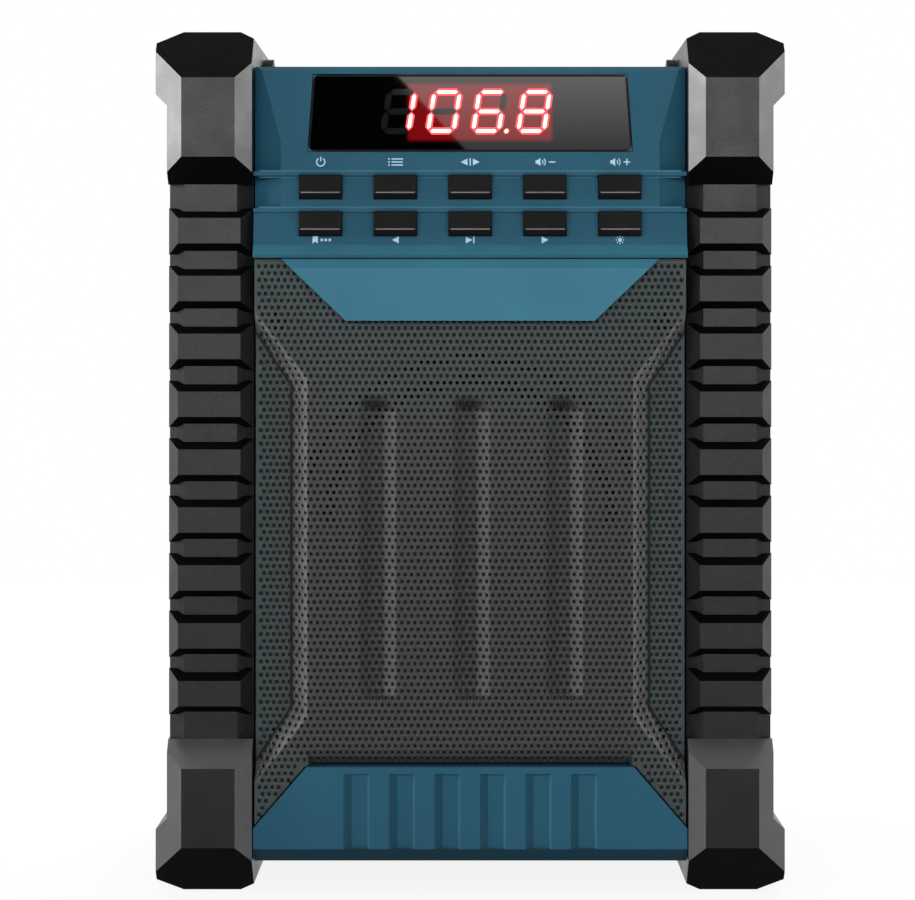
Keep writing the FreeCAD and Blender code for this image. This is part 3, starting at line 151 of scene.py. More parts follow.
def scaled(colour, share):
    """A lighter or a darker form of a linear colour."""
    return *(min(1, value * share) for value in colour[:3]), 1


class Nodes:
    """A material's node tree, with short calls for what the finishes share."""

    def __init__(self, name):
        """A new material; its place is the shaded point in the object's own frame."""
        self.material = bpy.data.materials.new(name)
        self.material.use_nodes = True
        self.tree = self.material.node_tree
        self.shader = self.tree.nodes["Principled BSDF"]
        self.place = self.tree.nodes.new("ShaderNodeTexCoord").outputs["Object"]

    def new(self, kind, **settings):
        """A node of one kind, with its settings."""
        node = self.tree.nodes.new(kind)
        for name, value in settings.items():
            setattr(node, name, value)
        return node

    def give(self, socket, value):
        """Link an output to a socket, or set the socket to a plain value."""
        if hasattr(value, "is_linked"):
            self.tree.links.new(value, socket)
        else:
            socket.default_value = value

    def shade(self, **inputs):
        """Give the shader's sockets their values; an underscore in a name stands for a space."""
        for name, value in inputs.items():
            self.give(self.shader.inputs[name.replace("_", " ")], value)

    def noise(self, scale, detail=4, stretch=(1, 1, 1)):
        """Noise fixed to the object, stretched along its axes."""
        mapping = self.new("ShaderNodeMapping")
        self.give(mapping.inputs["Scale"], stretch)
        self.give(mapping.inputs["Vector"], self.place)
        texture = self.new("ShaderNodeTexNoise")
        self.give(texture.inputs["Scale"], scale)
        self.give(texture.inputs["Detail"], detail)
        self.give(texture.inputs["Vector"], mapping.outputs["Vector"])
        return texture.outputs["Fac"]

    def math(self, operation, *values):
        """One sum on numbers and outputs."""
        node = self.new("ShaderNodeMath", operation=operation)
        for socket, value in zip(node.inputs, values):
            self.give(socket, value)
        return node.outputs["Value"]

    def least(self, values):
        """The least of several outputs."""
        smallest = values[0]
        for value in values[1:]:
            smallest = self.math("MINIMUM", smallest, value)
        return smallest

    def ramp(self, factor, *stops):
        """Colours, or greys given as numbers, at places from 0 to 1."""
        node = self.new("ShaderNodeValToRGB")
        points = node.color_ramp.elements
        while len(points) < len(stops):
            points.new(1)
        for point, (place, colour) in zip(points, stops):
            point.position = place
            point.color = colour if isinstance(colour, tuple) else (colour, colour, colour, 1)
        self.give(node.inputs["Fac"], factor)
        return node.outputs["Color"]

    def spread(self, noise, low, high):
        """Two colours or greys, blended over the values that a noise mostly has."""
        return self.ramp(noise, (NOISE_LOW, low), (NOISE_HIGH, high))

    def remap(self, value, start, end, low=0, high=1, smooth=False):
        """A value from start to end as one from low to high, held beyond both ends."""
        node = self.new("ShaderNodeMapRange", interpolation_type="SMOOTHSTEP" if smooth else "LINEAR")
        for name, given in (("Value", value), ("From Min", start), ("From Max", end), ("To Min", low),
                            ("To Max", high)):
            self.give(node.inputs[name], given)
        return node.outputs["Result"]

    def mix(self, factor, first, second):
        """The first colour where the factor is 0, and the second where it is 1."""
        node = self.new("ShaderNodeMix", data_type="RGBA")
        for which, value in (("Factor", factor), (MIX_FIRST, first), (MIX_SECOND, second)):
            self.give(node.inputs[which], value)
        return node.outputs[MIX_RESULT]

    def coordinates(self):
        """Where the shaded point is: X, Y and Z, in millimetres."""
        node = self.new("ShaderNodeSeparateXYZ")
        self.give(node.inputs["Vector"], self.place)
        return [self.math("MULTIPLY", node.outputs[axis], 1 / MM) for axis in "XYZ"]

    def bump(self, height, strength, distance):
        """Fine relief on the shader, up to a distance in millimetres."""
        node = self.new("ShaderNodeBump")
        self.give(node.inputs["Strength"], strength)
        self.give(node.inputs["Distance"], distance * MM)
        self.give(node.inputs["Height"], height)
        self.shade(Normal=node.outputs["Normal"])

    def surface(self, output):
        """Make this the material's surface in place of the shader."""
        self.give(self.tree.nodes["Material Output"].inputs["Surface"], output)


FOOT_SHADE_TOP = 95


def moulded(name, colour, roughness, grain, relief, tone=0.08, specular=0.5, mottle=22, foot=1):
    """Moulded plastic, rubber or painted metal: colour drift, uneven gloss and a fine grain.

    The foot is painted shade: the share of the colour that is left at the ground, and it rises to 1 at
    FOOT_SHADE_TOP.
    """
    made = Nodes(name)
    tinted = made.spread(made.noise(mottle, 3), scaled(colour, 1 - tone), scaled(colour, 1 + tone))
    # Painted shade: the colour darkens towards the ground
    if foot < 1:
        rise = made.math("DIVIDE", made.coordinates()[2], FOOT_SHADE_TOP)
        tinted = made.mix(made.ramp(rise, (0, 1 - foot), (1, 0)), tinted, (0, 0, 0, 1))
    gloss = made.spread(made.noise(GLOSS_SCALE, 3), roughness - GLOSS_SPREAD, roughness + GLOSS_SPREAD)
    made.shade(Base_Color=tinted, Roughness=gloss, Specular_IOR_Level=specular)
    made.bump(made.noise(grain, 2), relief, GRAIN_DEPTH)
    return made.material


def brushed(name, colour, roughness, stretch):
    """Drawn or turned metal, with fine marks along one way."""
    made = Nodes(name)
    marks = made.noise(900, 3, stretch)
    made.shade(Base_Color=made.spread(marks, scaled(colour, 0.9), colour),
               Roughness=made.spread(marks, roughness * 0.8, roughness * 1.3), Metallic=1)
    made.bump(marks, 0.05, FINE_DEPTH)
    return made.material


def glowing(name, colour, core, strength):
    """Lit plastic: an even colour that gives off light, with a slightly brighter middle."""
    made = Nodes(name)
    made.shade(Base_Color=colour, Roughness=0.4, Emission_Color=made.spread(made.noise(300, 2), colour, core),
               Emission_Strength=strength)
    return made.material


GLASS_INDEX = 1.6


def glassy(name, colour):
    """An unlit bar of the digits, under the same polish as the pane."""
    made = Nodes(name)
    made.shade(Base_Color=made.spread(made.noise(400, 2), scaled(colour, 0.8), colour), Roughness=0.05,
               IOR=GLASS_INDEX)
    return made.material


GLOW_LEFT, GLOW_RIGHT = -17.3, 22.7
GLOW_LOW, GLOW_HIGH = 209.3, 225.2
GLOW_SOFT = 0.8


def window_glass(name):
    """The smoked pane, with the red haze of the lit digits behind it."""
    made = Nodes(name)
    x, _, z = made.coordinates()
    shares = []
    for place, low, high in ((x, GLOW_LEFT, GLOW_RIGHT), (z, GLOW_LOW, GLOW_HIGH)):
        half = (high - low) / 2
        off = made.math("ABSOLUTE", made.math("SUBTRACT", place, low + half))
        shares.append(made.remap(off, half - GLOW_SOFT, half + GLOW_SOFT, 1, 0, smooth=True))
    haze = made.ramp(made.math("MULTIPLY", *shares), (0, 0), (1, linear(122, 10, 16)))
    smoke = made.spread(made.noise(60, 3), linear(1, 1, 1), linear(3, 2, 3))
    made.shade(Base_Color=smoke, Roughness=0.02, IOR=GLASS_INDEX, Emission_Color=haze, Emission_Strength=1)
    made.bump(made.noise(35, 2), 0.01, GRAIN_DEPTH)
    return made.material


def woven(name, colour, dark):
    """Woven cloth, seen through the holes of the sheet."""
    made = Nodes(name)
    weave = made.new("ShaderNodeTexWave", wave_type="BANDS", bands_direction="X")
    made.give(weave.inputs["Scale"], 600)
    made.give(weave.inputs["Vector"], made.place)
    threads = weave.outputs["Fac"]
    made.shade(Base_Color=made.ramp(threads, (0, dark), (1, colour)), Roughness=0.95, Specular_IOR_Level=0.1)
    made.bump(threads, 0.3, FINE_DEPTH)
    return made.material


COOL_BELOW, COOL_ABOVE = 96, 178
SIDE_WARM, SIDE_COOL = 40, 58
# Painted highlight on the channels' right sides
SHEEN_PLACE = 3.6
SHEEN_FULL, SHEEN_GONE = 1.3, 2.1
SHEEN_TOP = CHANNEL_TOP - 1
# Painted shade over the channels' top ends: the size and place of an oval, and where it fades
END_SHADE_WIDTH, END_SHADE_HEIGHT = 4.4, 2.3
END_SHADE_LEFT, END_SHADE_UP = 0.9, 0.6
END_SHADE_FULL, END_SHADE_GONE = 0.2, 1.2


def sheet_coolness(made, x, z):
    """From 0 on the warm middle and foot of the sheet to about 1 at its cool top and sides."""
    height = made.remap(z, COOL_BELOW, COOL_ABOVE)
    side = made.remap(made.math("ABSOLUTE", x), SIDE_WARM, SIDE_COOL)
    cool = made.math("MULTIPLY", made.math("MAXIMUM", height, side), 0.75)
    return made.math("MULTIPLY_ADD", made.noise(300, 3), 0.5, cool)


def channel_end_shade(made, x, z):
    """The painted shade over the channels' top ends, whose steep ends face down, as a share."""
    squares = []
    for centre in CHANNEL_CENTRES:
        across = made.math("DIVIDE", made.math("SUBTRACT", x, centre - END_SHADE_LEFT), END_SHADE_WIDTH)
        up = made.math("DIVIDE", made.math("SUBTRACT", z, CHANNEL_TOP + END_SHADE_UP), END_SHADE_HEIGHT)
        squares.append(made.math("ADD", made.math("MULTIPLY", across, across), made.math("MULTIPLY", up, up)))
    return made.remap(made.least(squares), END_SHADE_FULL, END_SHADE_GONE, 1, 0)


def channel_painted_sheen(made, x, z):
    """The painted highlight on the channels' right sides, as a share."""
    middle = (CHANNEL_LOW + SHEEN_TOP) / 2
    reach = SHEEN_TOP - CHANNEL_HALF / 2 - middle
    off = made.least([made.math("ABSOLUTE", made.math("SUBTRACT", x, centre + SHEEN_PLACE))
                      for centre in CHANNEL_CENTRES])
    beyond = made.math("SUBTRACT", made.math("ABSOLUTE", made.math("SUBTRACT", z, middle)), reach)
    return made.remap(made.math("MAXIMUM", off, beyond), SHEEN_FULL, SHEEN_GONE, 1, 0)


def pocket_wall_highlight(made, x, z):
    """The painted highlight on the walls of the side pockets, as a share: pocket_share in nodes, faded at
    brim and foot.
    """
    outward = made.math("ABSOLUTE", x)
    shares = [made.math("DIVIDE", made.math("SUBTRACT", outward, POCKET_INNER), POCKET_SLOPE)]
    for brim, foot in POCKET_ENDS:
        brim_z = made.math("MULTIPLY_ADD", outward, *brim)
        foot_z = made.math("MULTIPLY_ADD", outward, *foot)
        fallen = made.math("SUBTRACT", brim_z, z)
        shares.append(made.math("DIVIDE", fallen, made.math("SUBTRACT", brim_z, foot_z)))
    return made.ramp(made.least(shares), (0.01, 0), (0.12, 1), (0.8, 1), (0.96, 0))


def pressed_sheet(name, warm, cold, sheen, wall, painted_shade_colour):
    """Painted steel, with painted highlights on the channels' right sides and the pockets' walls, and painted
    shade at the channels' top ends.
    """
    made = Nodes(name)
    x, _, z = made.coordinates()
    paint = made.ramp(sheet_coolness(made, x, z), (0.2, warm), (0.95, cold))
    paint = made.mix(channel_painted_sheen(made, x, z), paint, sheen)
    paint = made.mix(pocket_wall_highlight(made, x, z), paint, wall)
    paint = made.mix(channel_end_shade(made, x, z), paint, painted_shade_colour)
    gloss = made.spread(made.noise(GLOSS_SCALE, 3), 0.42, 0.54)
    made.shade(Base_Color=paint, Roughness=gloss, Specular_IOR_Level=0.14)
    made.bump(made.noise(3000, 2), 0.1, GRAIN_DEPTH)
    return made.material


FINISHES = {
    "shell": moulded("shell_blue", linear(34, 75, 93), roughness=0.46, grain=2600, relief=0.1, specular=0.05),
    # Painted shade on the base's foot and the flutes' left sides; the nose colour also paints a highlight on
    # the ledges and the flutes' right sides
    "shade": moulded("shade_blue", linear(20, 48, 61), roughness=0.5, grain=2600, relief=0.1, specular=0.03),
    "flute": moulded("flute_shade_blue", linear(29, 64, 79), roughness=0.5, grain=2600, relief=0.1, specular=0.04),
    "nose": moulded("nose_and_highlight_blue", linear(48, 97, 115), roughness=0.42, grain=2600, relief=0.08, specular=0.06),
    # The guards' foot setting darkens them towards the ground as painted shade
    "guard": moulded("guard_black", linear(25, 25, 26), roughness=0.35, grain=2200, relief=0.2, tone=0.3,
                     specular=0.18, mottle=800, foot=0.35),
    # Painted highlight: corner chamfers paler than the guard
    "guard_edge_highlight": moulded("guard_edge_highlight", linear(58, 58, 59), roughness=0.3, grain=2600, relief=0.05,
                          tone=0.05),
    # Painted shade: slopes near-black
    "guard_slope_shade": moulded("guard_slope_shade", linear(5, 5, 5), roughness=0.6, grain=2200, relief=0.12, tone=0.2,
                           specular=0.02),
    "guard_flank": moulded("guard_flank", linear(27, 27, 28), roughness=0.5, grain=2200, relief=0.2, tone=0.3,
                           specular=0.1, mottle=800),
    "rubber": moulded("seal_rubber", linear(22, 22, 23), roughness=0.62, grain=1500, relief=0.2,
                      specular=0.3),
    # The grille's sheen and wall colours are painted highlights; its last colour is painted shade at the
    # channels' top ends
    "grille": pressed_sheet("grille_metal", warm=linear(51, 48, 50), cold=linear(53, 60, 59),
                            sheen=linear(74, 73, 74), wall=linear(95, 94, 95), painted_shade_colour=linear(24, 24, 25)),
    # Painted shade: dark strips in the folds at the pockets' feet
    "crease": moulded("grille_crease_shade", linear(18, 22, 23), roughness=0.6, grain=2600, relief=0.1,
                      specular=0.1),
    "cloth": woven("speaker_cloth", linear(44, 43, 44), linear(34, 33, 34)),
    "scrim_warm": woven("scrim_warm", linear(40, 37, 39), linear(30, 28, 29)),
    "scrim_cool": woven("scrim_cool", linear(28, 44, 44), linear(22, 35, 35)),
    # Painted shade: near-black scrim where the holes look into shade
    "scrim_shade": woven("scrim_shade", linear(4, 4, 5), linear(2, 2, 2)),
    "glass": window_glass("window_smoke"),
    "module": moulded("led_module", linear(60, 12, 14), roughness=0.5, grain=800, relief=0.1),
    "key": moulded("key_black", linear(17, 16, 17), roughness=0.6, grain=2600, relief=0.06, specular=0.05),
    "board": moulded("board_green", linear(24, 84, 52), roughness=0.45, grain=700, relief=0.2),
    "paper": moulded("cone_paper", linear(34, 33, 32), roughness=0.8, grain=500, relief=0.4),
    "steel": brushed("inner_steel", linear(170, 170, 172), roughness=0.3, stretch=(1, 1, 1)),
    "plastic": moulded("black_plastic", linear(22, 22, 23), roughness=0.38, grain=1800, relief=0.12,
                       specular=0.3),
    "handle": moulded("handle_black", linear(15, 15, 16), roughness=0.6, grain=1800, relief=0.12,
                      specular=0.06),
    "chrome": brushed("mast_chrome", linear(225, 226, 228), roughness=0.12, stretch=(1, 1, 0.02)),
    "symbol": moulded("label_ink", linear(150, 184, 198), roughness=0.5, grain=900, relief=0.05,
                      specular=0.2),
    # Painted highlight: the key ridges are paler than the keys
    "ridge": moulded("key_ridge_highlight", linear(76, 74, 73), roughness=0.35, grain=900, relief=0.05, specular=0.2),
    "lit": glowing("digit_core", linear(255, 205, 200), linear(255, 235, 230), strength=1),
    "halo": glowing("digit_edge", linear(235, 40, 45), linear(245, 60, 62), strength=0.9),
    "unlit": glassy("digit_unlit", linear(17, 19, 20)),
    "brass": brushed("socket_brass", linear(190, 160, 90), roughness=0.3, stretch=(1, 1, 1)),
}
KEYS = ("power", "mode", "scan", "volume_down", "volume_up", "preset", "previous", "play", "next", "dimmer")
GUARDS = [f"{level}_guard_{side}" for level in ("upper", "lower") for side in ("left", "right")]
POSTS = [f"{end}_post_{side}" for end in ("front", "rear") for side in ("left", "right")]
WORN = {
    "shell": ["front_shell", "rear_shell", "battery_door"],
    "nose": ["nose_plate"],
    "guard": GUARDS + POSTS,
    "rubber": ["shell_seal", "port_cover", "key_mat", "handle_grip", "speaker_surround"],
    "grille": ["grille"],
    "cloth": ["grille_cloth", "speaker_spider"],
    "glass": ["display_window"],
    "module": ["display_module"],
    "key": [f"button_{key}" for key in KEYS],
    "board": ["control_board", "main_board"],
    "paper": ["speaker_cone", "dust_cap"],
    "steel": ["speaker_basket", "speaker_magnet", "housing_screws", "speaker_screws", "battery_door_pin",
              "antenna_pin", "usb_socket"],
    "brass": ["voice_coil", "battery_contacts"],
    "plastic": ["battery_pack", "aux_socket", "dc_socket", "antenna_bracket", "antenna_tip"],
    "handle": ["carry_handle", "handle_pivots"],
    "chrome": ["antenna_base"] + [f"antenna_section_{index}" for index in range(1, 6)],
}
SHARP = math.radians(28)


def finish_nodes():
    """Give every CAD node its material, and smooth shading inside its sharp edges."""
    for finish, names in WORN.items():
        for name in names:
            data = nodes[name].data
            data.materials.clear()
            data.materials.append(FINISHES[finish])
            for face in data.polygons:
                face.use_smooth = True
            data.set_sharp_from_angle(angle=SHARP)


# Finishes of single faces, told by their normals

GUARD_KINDS = ("guard", "guard_edge_highlight", "guard_slope_shade", "guard_flank")
CROWN_LOW = 214
SHOWN = 0.3
TILTED = 0.6
STEEP = 0.85


def guard_finish(normal, height, on_post):
    """The finish of one face of a guard: glossy corner chamfers paler as a painted highlight, slopes
    near-black as painted shade, grained flats.
    """
    if abs(normal.x) > TILTED and abs(normal.y) > TILTED:
        return "guard_flank" if on_post else "guard_edge_highlight"
    if abs(normal.y) > SHOWN and (normal.z < -TILTED or abs(normal.z) > STEEP):
        return "guard_slope_shade"
    if normal.z > TILTED and abs(normal.y) > TILTED:
        return "guard_slope_shade" if height > CROWN_LOW else "guard_edge_highlight"
    return "guard"


def finish_guards():
    """Give each face of the guards and posts its own finish."""
    for name in WORN["guard"]:
        data = nodes[name].data
        for kind in GUARD_KINDS[1:]:
            data.materials.append(FINISHES[kind])
        for face in data.polygons:
            kind = guard_finish(face.normal, face.center.z / MM, name in POSTS)
            face.material_index = GUARD_KINDS.index(kind)


SHELL_KINDS = ("shell", "nose", "shade", "flute")
FLUTE_TOP = 36
LIP_TOP = 215
FLUTE_LEFT, FLUTE_RIGHT = 0.4, -0.8
UNDERSIDE = -0.5


def shell_finish(normal, height):
    """The finish of one face of the front shell.

    Ledges and the flutes' right sides are paler than the panel as a painted highlight; the flutes' left sides
    and the foot are darker as painted shade.
    """
    in_base = normal.y < -SHOWN and height < FLUTE_TOP
    on_ledge = normal.y < -TILTED and normal.z > TILTED and height < LIP_TOP
    if on_ledge or in_base and normal.x < FLUTE_RIGHT:
        return "nose"
    if in_base and normal.z < UNDERSIDE:
        return "shade"
    if in_base and normal.x > FLUTE_LEFT:
        return "flute"
    return "shell"


def finish_shell():
    """Give each face of the front shell its own finish."""
    data = nodes["front_shell"].data
    for kind in SHELL_KINDS[1:]:
        data.materials.append(FINISHES[kind])
    for face in data.polygons:
        face.material_index = SHELL_KINDS.index(shell_finish(face.normal, face.center.z / MM))


def soften(name, width):
    """Round a CAD node's sharp edges by a small bevel."""
    bevel = nodes[name].modifiers.new("soft_edges", "BEVEL")
    bevel.width = width * MM
    bevel.segments = 2
    bevel.limit_method = "ANGLE"
    bevel.angle_limit = SHARP
    bevel.harden_normals = True


# Building pieces

def add_piece(name, mesh, finishes, body):
    """Put a mesh into the scene as a piece that rides on a body."""
    made = bpy.data.objects.new(name, mesh)
    for kind in finishes:
        mesh.materials.append(FINISHES[kind])
    bpy.context.scene.collection.objects.link(made)
    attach(made, body)
    return made


def thicken(piece, thickness):
    """Give a thin sheet its thickness, towards its back."""
    solid = piece.modifiers.new("thickness", "SOLIDIFY")
    solid.thickness = thickness * MM
    solid.offset = -1


def plates(name, outlines, surface, proud, sunk, finish, body):
    """Closed flat shapes on a surface, each outlined by its corners (x, z).

    The surface gives its depth at (x, z). Each shape stands proud of it and is sunk below it.
    """
    mesh = bpy.data.meshes.new(name)
    work = bmesh.new()
    for outline in outlines:
        near, far = ([work.verts.new((x * MM, (FRONT + surface(x, z) - lift) * MM, z * MM))
                      for x, z in outline] for lift in (proud, -sunk))
        work.faces.new(near)
        work.faces.new(far[::-1])
        count = len(outline)
        for index in range(count):
            after = (index + 1) % count
            work.faces.new((near[after], near[index], far[index], far[after]))
    bmesh.ops.recalc_face_normals(work, faces=work.faces)
    bmesh.ops.triangulate(work, faces=[face for face in work.faces if len(face.verts) > 4])
    work.to_mesh(mesh)
    work.free()
    return add_piece(name, mesh, (finish,), body)


def bar(x, z, width, height):
    """A rectangle about its middle."""
    return [(x - width / 2, z - height / 2), (x + width / 2, z - height / 2),
            (x + width / 2, z + height / 2), (x - width / 2, z + height / 2)]


def disc(x, z, radius, sides):
    """A round shape with some number of sides."""
    turns = [2 * math.pi * step / sides for step in range(sides)]
    return [(x + radius * math.cos(turn), z + radius * math.sin(turn)) for turn in turns]


def arc(x, z, radius, stroke, start, end, steps=20):
    """A curved stroke from one angle to another, in degrees anticlockwise from the right."""
    turns = [math.radians(start + (end - start) * step / steps) for step in range(steps + 1)]
    outer, inner = ([(x + reach * math.cos(turn), z + reach * math.sin(turn)) for turn in turns]
                    for reach in (radius + stroke / 2, radius - stroke / 2))
    return outer + inner[::-1]


# Depths of the panel's faces

FACET_LOW = 200.5
FACET_DEPTH = 6.9
FACET_SLOPE = 4.7 / 28.5
SHELF_LOW = 180.2
SHELF_DEPTH = 5.6
SHELF_SLOPE = 2 / 9
GLASS_INSET = 0.35


def facet_depth(_, z):
    """The display's facet, which leans back from the first ledge to the rim."""
    return FACET_DEPTH + (z - FACET_LOW) * FACET_SLOPE


def shelf_depth(_, z):
    """The band with the lower keys, which leans back from the shelf's edge."""
    return SHELF_DEPTH + (z - SHELF_LOW) * SHELF_SLOPE


def glass_depth(_, z):
    """The front of the display's pane."""
    return facet_depth(0, z) + GLASS_INSET


# The pressed and perforated speaker sheet

SHEET_DEPTH = 6
SHEET_BACK = 13.4
SHEET_THICKNESS = 0.6
SHEET_HALF = edge("grille", 1, 0)
SHEET_LOW, SHEET_TOP = edge("grille", 0, 2), edge("grille", 1, 2)
SHOULDER_HALF = 45.7
SHOULDER_HEIGHT = 35.8
TUCK_HEIGHT = 42
TUCK_RADIUS = 7
NOSE_LOW = edge("nose_plate", 0, 2)
NOSE_LOW_HALF, NOSE_TOP_HALF = 34.4, edge("nose_plate", 1, 0)
HOLE_PITCH, ROW_PITCH = 1.8, 1.9
HOLE_RADIUS = 0.53
FIRST_ROW = 39.3
EDGE_MARGIN = 1.2
LEAST_AREA = 0.02
MERGED, SLIVER, ON_RIM = 0.02, 0.01, 0.05


def pocket_share(x, z):
    """How far down a side pocket's wall a point lies, from 0 at its brim to 1 on its floor."""
    outward = abs(x)
    shares = [(outward - POCKET_INNER) / POCKET_SLOPE]
    for (brim_rise, brim_start), (foot_rise, foot_start) in POCKET_ENDS:
        brim = brim_start + brim_rise * outward
        foot = foot_start + foot_rise * outward
        shares.append((brim - z) / (brim - foot))
    return max(0, min(1, *shares))


def eased(share):
    """A share from 0 to 1 with a level start and a level end."""
    return share * share * (3 - 2 * share)


def sheet_depth(x, z):
    """Depth of the sheet's front face: plateau, side pockets, three channels and the tucked foot."""
    depth = SHEET_DEPTH + POCKET_DEPTH * eased(pocket_share(x, z))
    off = min(abs(x - centre) for centre in CHANNEL_CENTRES)
    if off < CHANNEL_HALF and CHANNEL_LOW < z < CHANNEL_TOP:
        across = 1 - (off / CHANNEL_HALF) ** 2
        end = min(1, (z - CHANNEL_LOW) / CHANNEL_END, (CHANNEL_TOP - z) / CHANNEL_END)
        depth += CHANNEL_DEPTH * across * math.sqrt(1 - (1 - end) ** 2)
    if z < TUCK_HEIGHT and abs(x) < POCKET_INNER:
        fall = min(TUCK_HEIGHT - z, TUCK_RADIUS)
        depth += TUCK_RADIUS - math.sqrt(TUCK_RADIUS ** 2 - fall ** 2)
    return depth


def sheet_floor(x):
    """The lower edge of the sheet: level between the shoulders, then falling to the sides."""
    beyond = max(0, abs(x) - SHOULDER_HALF)
    return SHOULDER_HEIGHT - beyond * (SHOULDER_HEIGHT - SHEET_LOW) / (SHEET_HALF - SHOULDER_HALF)


def clipped(x, z, margin):
    """A point brought inside the sheet's outline, by a margin."""
    limit = SHEET_HALF - margin
    x = max(-limit, min(limit, x))
    return x, max(sheet_floor(x) + margin, min(SHEET_TOP - margin, z))


def under_nose(x, z):
    """Whether a hole would be hidden behind the nose plate."""
    if z < NOSE_LOW + EDGE_MARGIN:
        return False
    share = (z - NOSE_LOW) / (SHEET_TOP - NOSE_LOW)
    return abs(x) < NOSE_LOW_HALF + (NOSE_TOP_HALF - NOSE_LOW_HALF) * share - EDGE_MARGIN


def has_hole(x, z):
    """Whether a cell with this middle has a hole: not by the sheet's edges or behind the nose plate."""
    inside = abs(x) < SHEET_HALF - EDGE_MARGIN and sheet_floor(x) + EDGE_MARGIN < z < SHEET_TOP - EDGE_MARGIN
    return inside and not under_nose(x, z)


def hole_places():
    """The middles of the cells, in staggered rows that reach a little past the sheet's edges."""
    rows = int((SHEET_TOP - SHEET_LOW) / ROW_PITCH) + 3
    first = -int((FIRST_ROW - SHEET_LOW) / ROW_PITCH) - 1
    columns = int(SHEET_HALF / HOLE_PITCH) + 2
    for row in range(first, first + rows):
        shift = HOLE_PITCH / 2 if row % 2 else 0
        for column in range(-columns, columns + 1):
            yield column * HOLE_PITCH + shift, FIRST_ROW + row * ROW_PITCH


def cell_corners(x, z, shape, margin):
    """A cell's corners, clipped to the sheet, or none where little of it is left."""
    corners = [clipped(x + across, z + up, margin) for across, up in shape]
    area = sum(a[0] * b[1] - b[0] * a[1] for a, b in zip(corners, corners[1:] + corners[:1])) / 2
    return corners if area >= LEAST_AREA else None


def cell_vertex(work, x, z, behind=0):
    """A vertex on the sheet's front face, or some way behind it."""
    return work.verts.new((x * MM, (FRONT + sheet_depth(x, z) + behind) * MM, z * MM))


SHEET_CELL = [(across * HOLE_PITCH / 2, up * ROW_PITCH / 2)
              for across, up in ((1, -1), (1, 1), (0, 1), (-1, 1), (-1, -1), (0, -1))]


def plain_cell(work, corners, ring):
    """A cell without a hole: a fan about its middle."""
    count = len(ring)
    middle = cell_vertex(work, sum(corner[0] for corner in corners) / count,
                         sum(corner[1] for corner in corners) / count)
    for index in range(count):
        work.faces.new((middle, ring[index], ring[(index + 1) % count]))


def sheet_cell(work, x, z):
    """One cell of the sheet: six corners round a twelve-sided hole, or a plain cell by the edges."""
    corners = cell_corners(x, z, SHEET_CELL, 0)
    if corners is None:
        return
    count = len(corners)
    ring = [cell_vertex(work, *corner) for corner in corners]
    if not has_hole(x, z):
        plain_cell(work, corners, ring)
        return
    angles = [math.atan2(corner[1] - z, corner[0] - x) for corner in corners]
    hole = []
    for index in range(count):
        here, there = angles[index], angles[(index + 1) % count]
        if there < here:
            there += 2 * math.pi
        for angle in (here, (here + there) / 2):
            hole.append(cell_vertex(work, x + HOLE_RADIUS * math.cos(angle),
                                    z + HOLE_RADIUS * math.sin(angle)))
    for index in range(count):
        after = (index + 1) % count
        first, second, third = hole[2 * index], hole[2 * index + 1], hole[2 * after]
        for triangle in ((ring[index], second, first), (ring[index], ring[after], second),
                         (ring[after], third, second)):
            work.faces.new(triangle)


def on_rim(vert):
    """Whether a vertex lies on the sheet's outer outline."""
    x, z = vert.co.x / MM, vert.co.z / MM
    return abs(x) > SHEET_HALF - ON_RIM or z > SHEET_TOP - ON_RIM or z < sheet_floor(x) + ON_RIM


def speaker_sheet():
    """The perforated sheet with its holes, its pressed form and its turned-back edge."""
    mesh = bpy.data.meshes.new("speaker_sheet")
    work = bmesh.new()
    for x, z in hole_places():
        sheet_cell(work, x, z)
    bmesh.ops.remove_doubles(work, verts=work.verts, dist=MERGED * MM)
    bmesh.ops.dissolve_degenerate(work, edges=work.edges, dist=SLIVER * MM)
    rim = [side for side in work.edges if side.is_boundary and all(on_rim(vert) for vert in side.verts)]
    turned = bmesh.ops.extrude_edge_only(work, edges=rim)["geom"]
    for item in turned:
        if isinstance(item, bmesh.types.BMVert):
            item.co.y = (FRONT + SHEET_BACK) * MM
    bmesh.ops.recalc_face_normals(work, faces=work.faces)
    backward = sum(face.normal.y * face.calc_area() for face in work.faces)
    if backward > 0:
        bmesh.ops.reverse_faces(work, faces=work.faces)
    work.to_mesh(mesh)
    work.free()
    made = add_piece("speaker_sheet", mesh, ("grille",), "housing")
    thicken(made, SHEET_THICKNESS)
    for face in mesh.polygons:
        face.use_smooth = True
    mesh.set_sharp_from_angle(angle=SHARP)
    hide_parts("grille")


# The scrim glued behind the sheet

SCRIM_KINDS = ("scrim_warm", "scrim_cool", "scrim_shade")
SCRIM_GAP = 0.75
SCRIM_THICKNESS = 0.15
SCRIM_CELL = [(across * HOLE_PITCH / 2, up * ROW_PITCH / 2)
              for across, up in ((1, -1), (1, 1), (-1, 1), (-1, -1))]
RIM_ARCS = ((101.5, 47.3, 0.95), (103.2, 39.2, 1.6))
WELLS = [(x, z) for x in (-53.5, 53.5) for z in (43.6, 158.4)]
WELL_RADIUS = 2.7
WALL_BRIM, WALL_DARK = 0.02, 0.6
COOL_TOP = 12
COOL_ROWS = 2.6


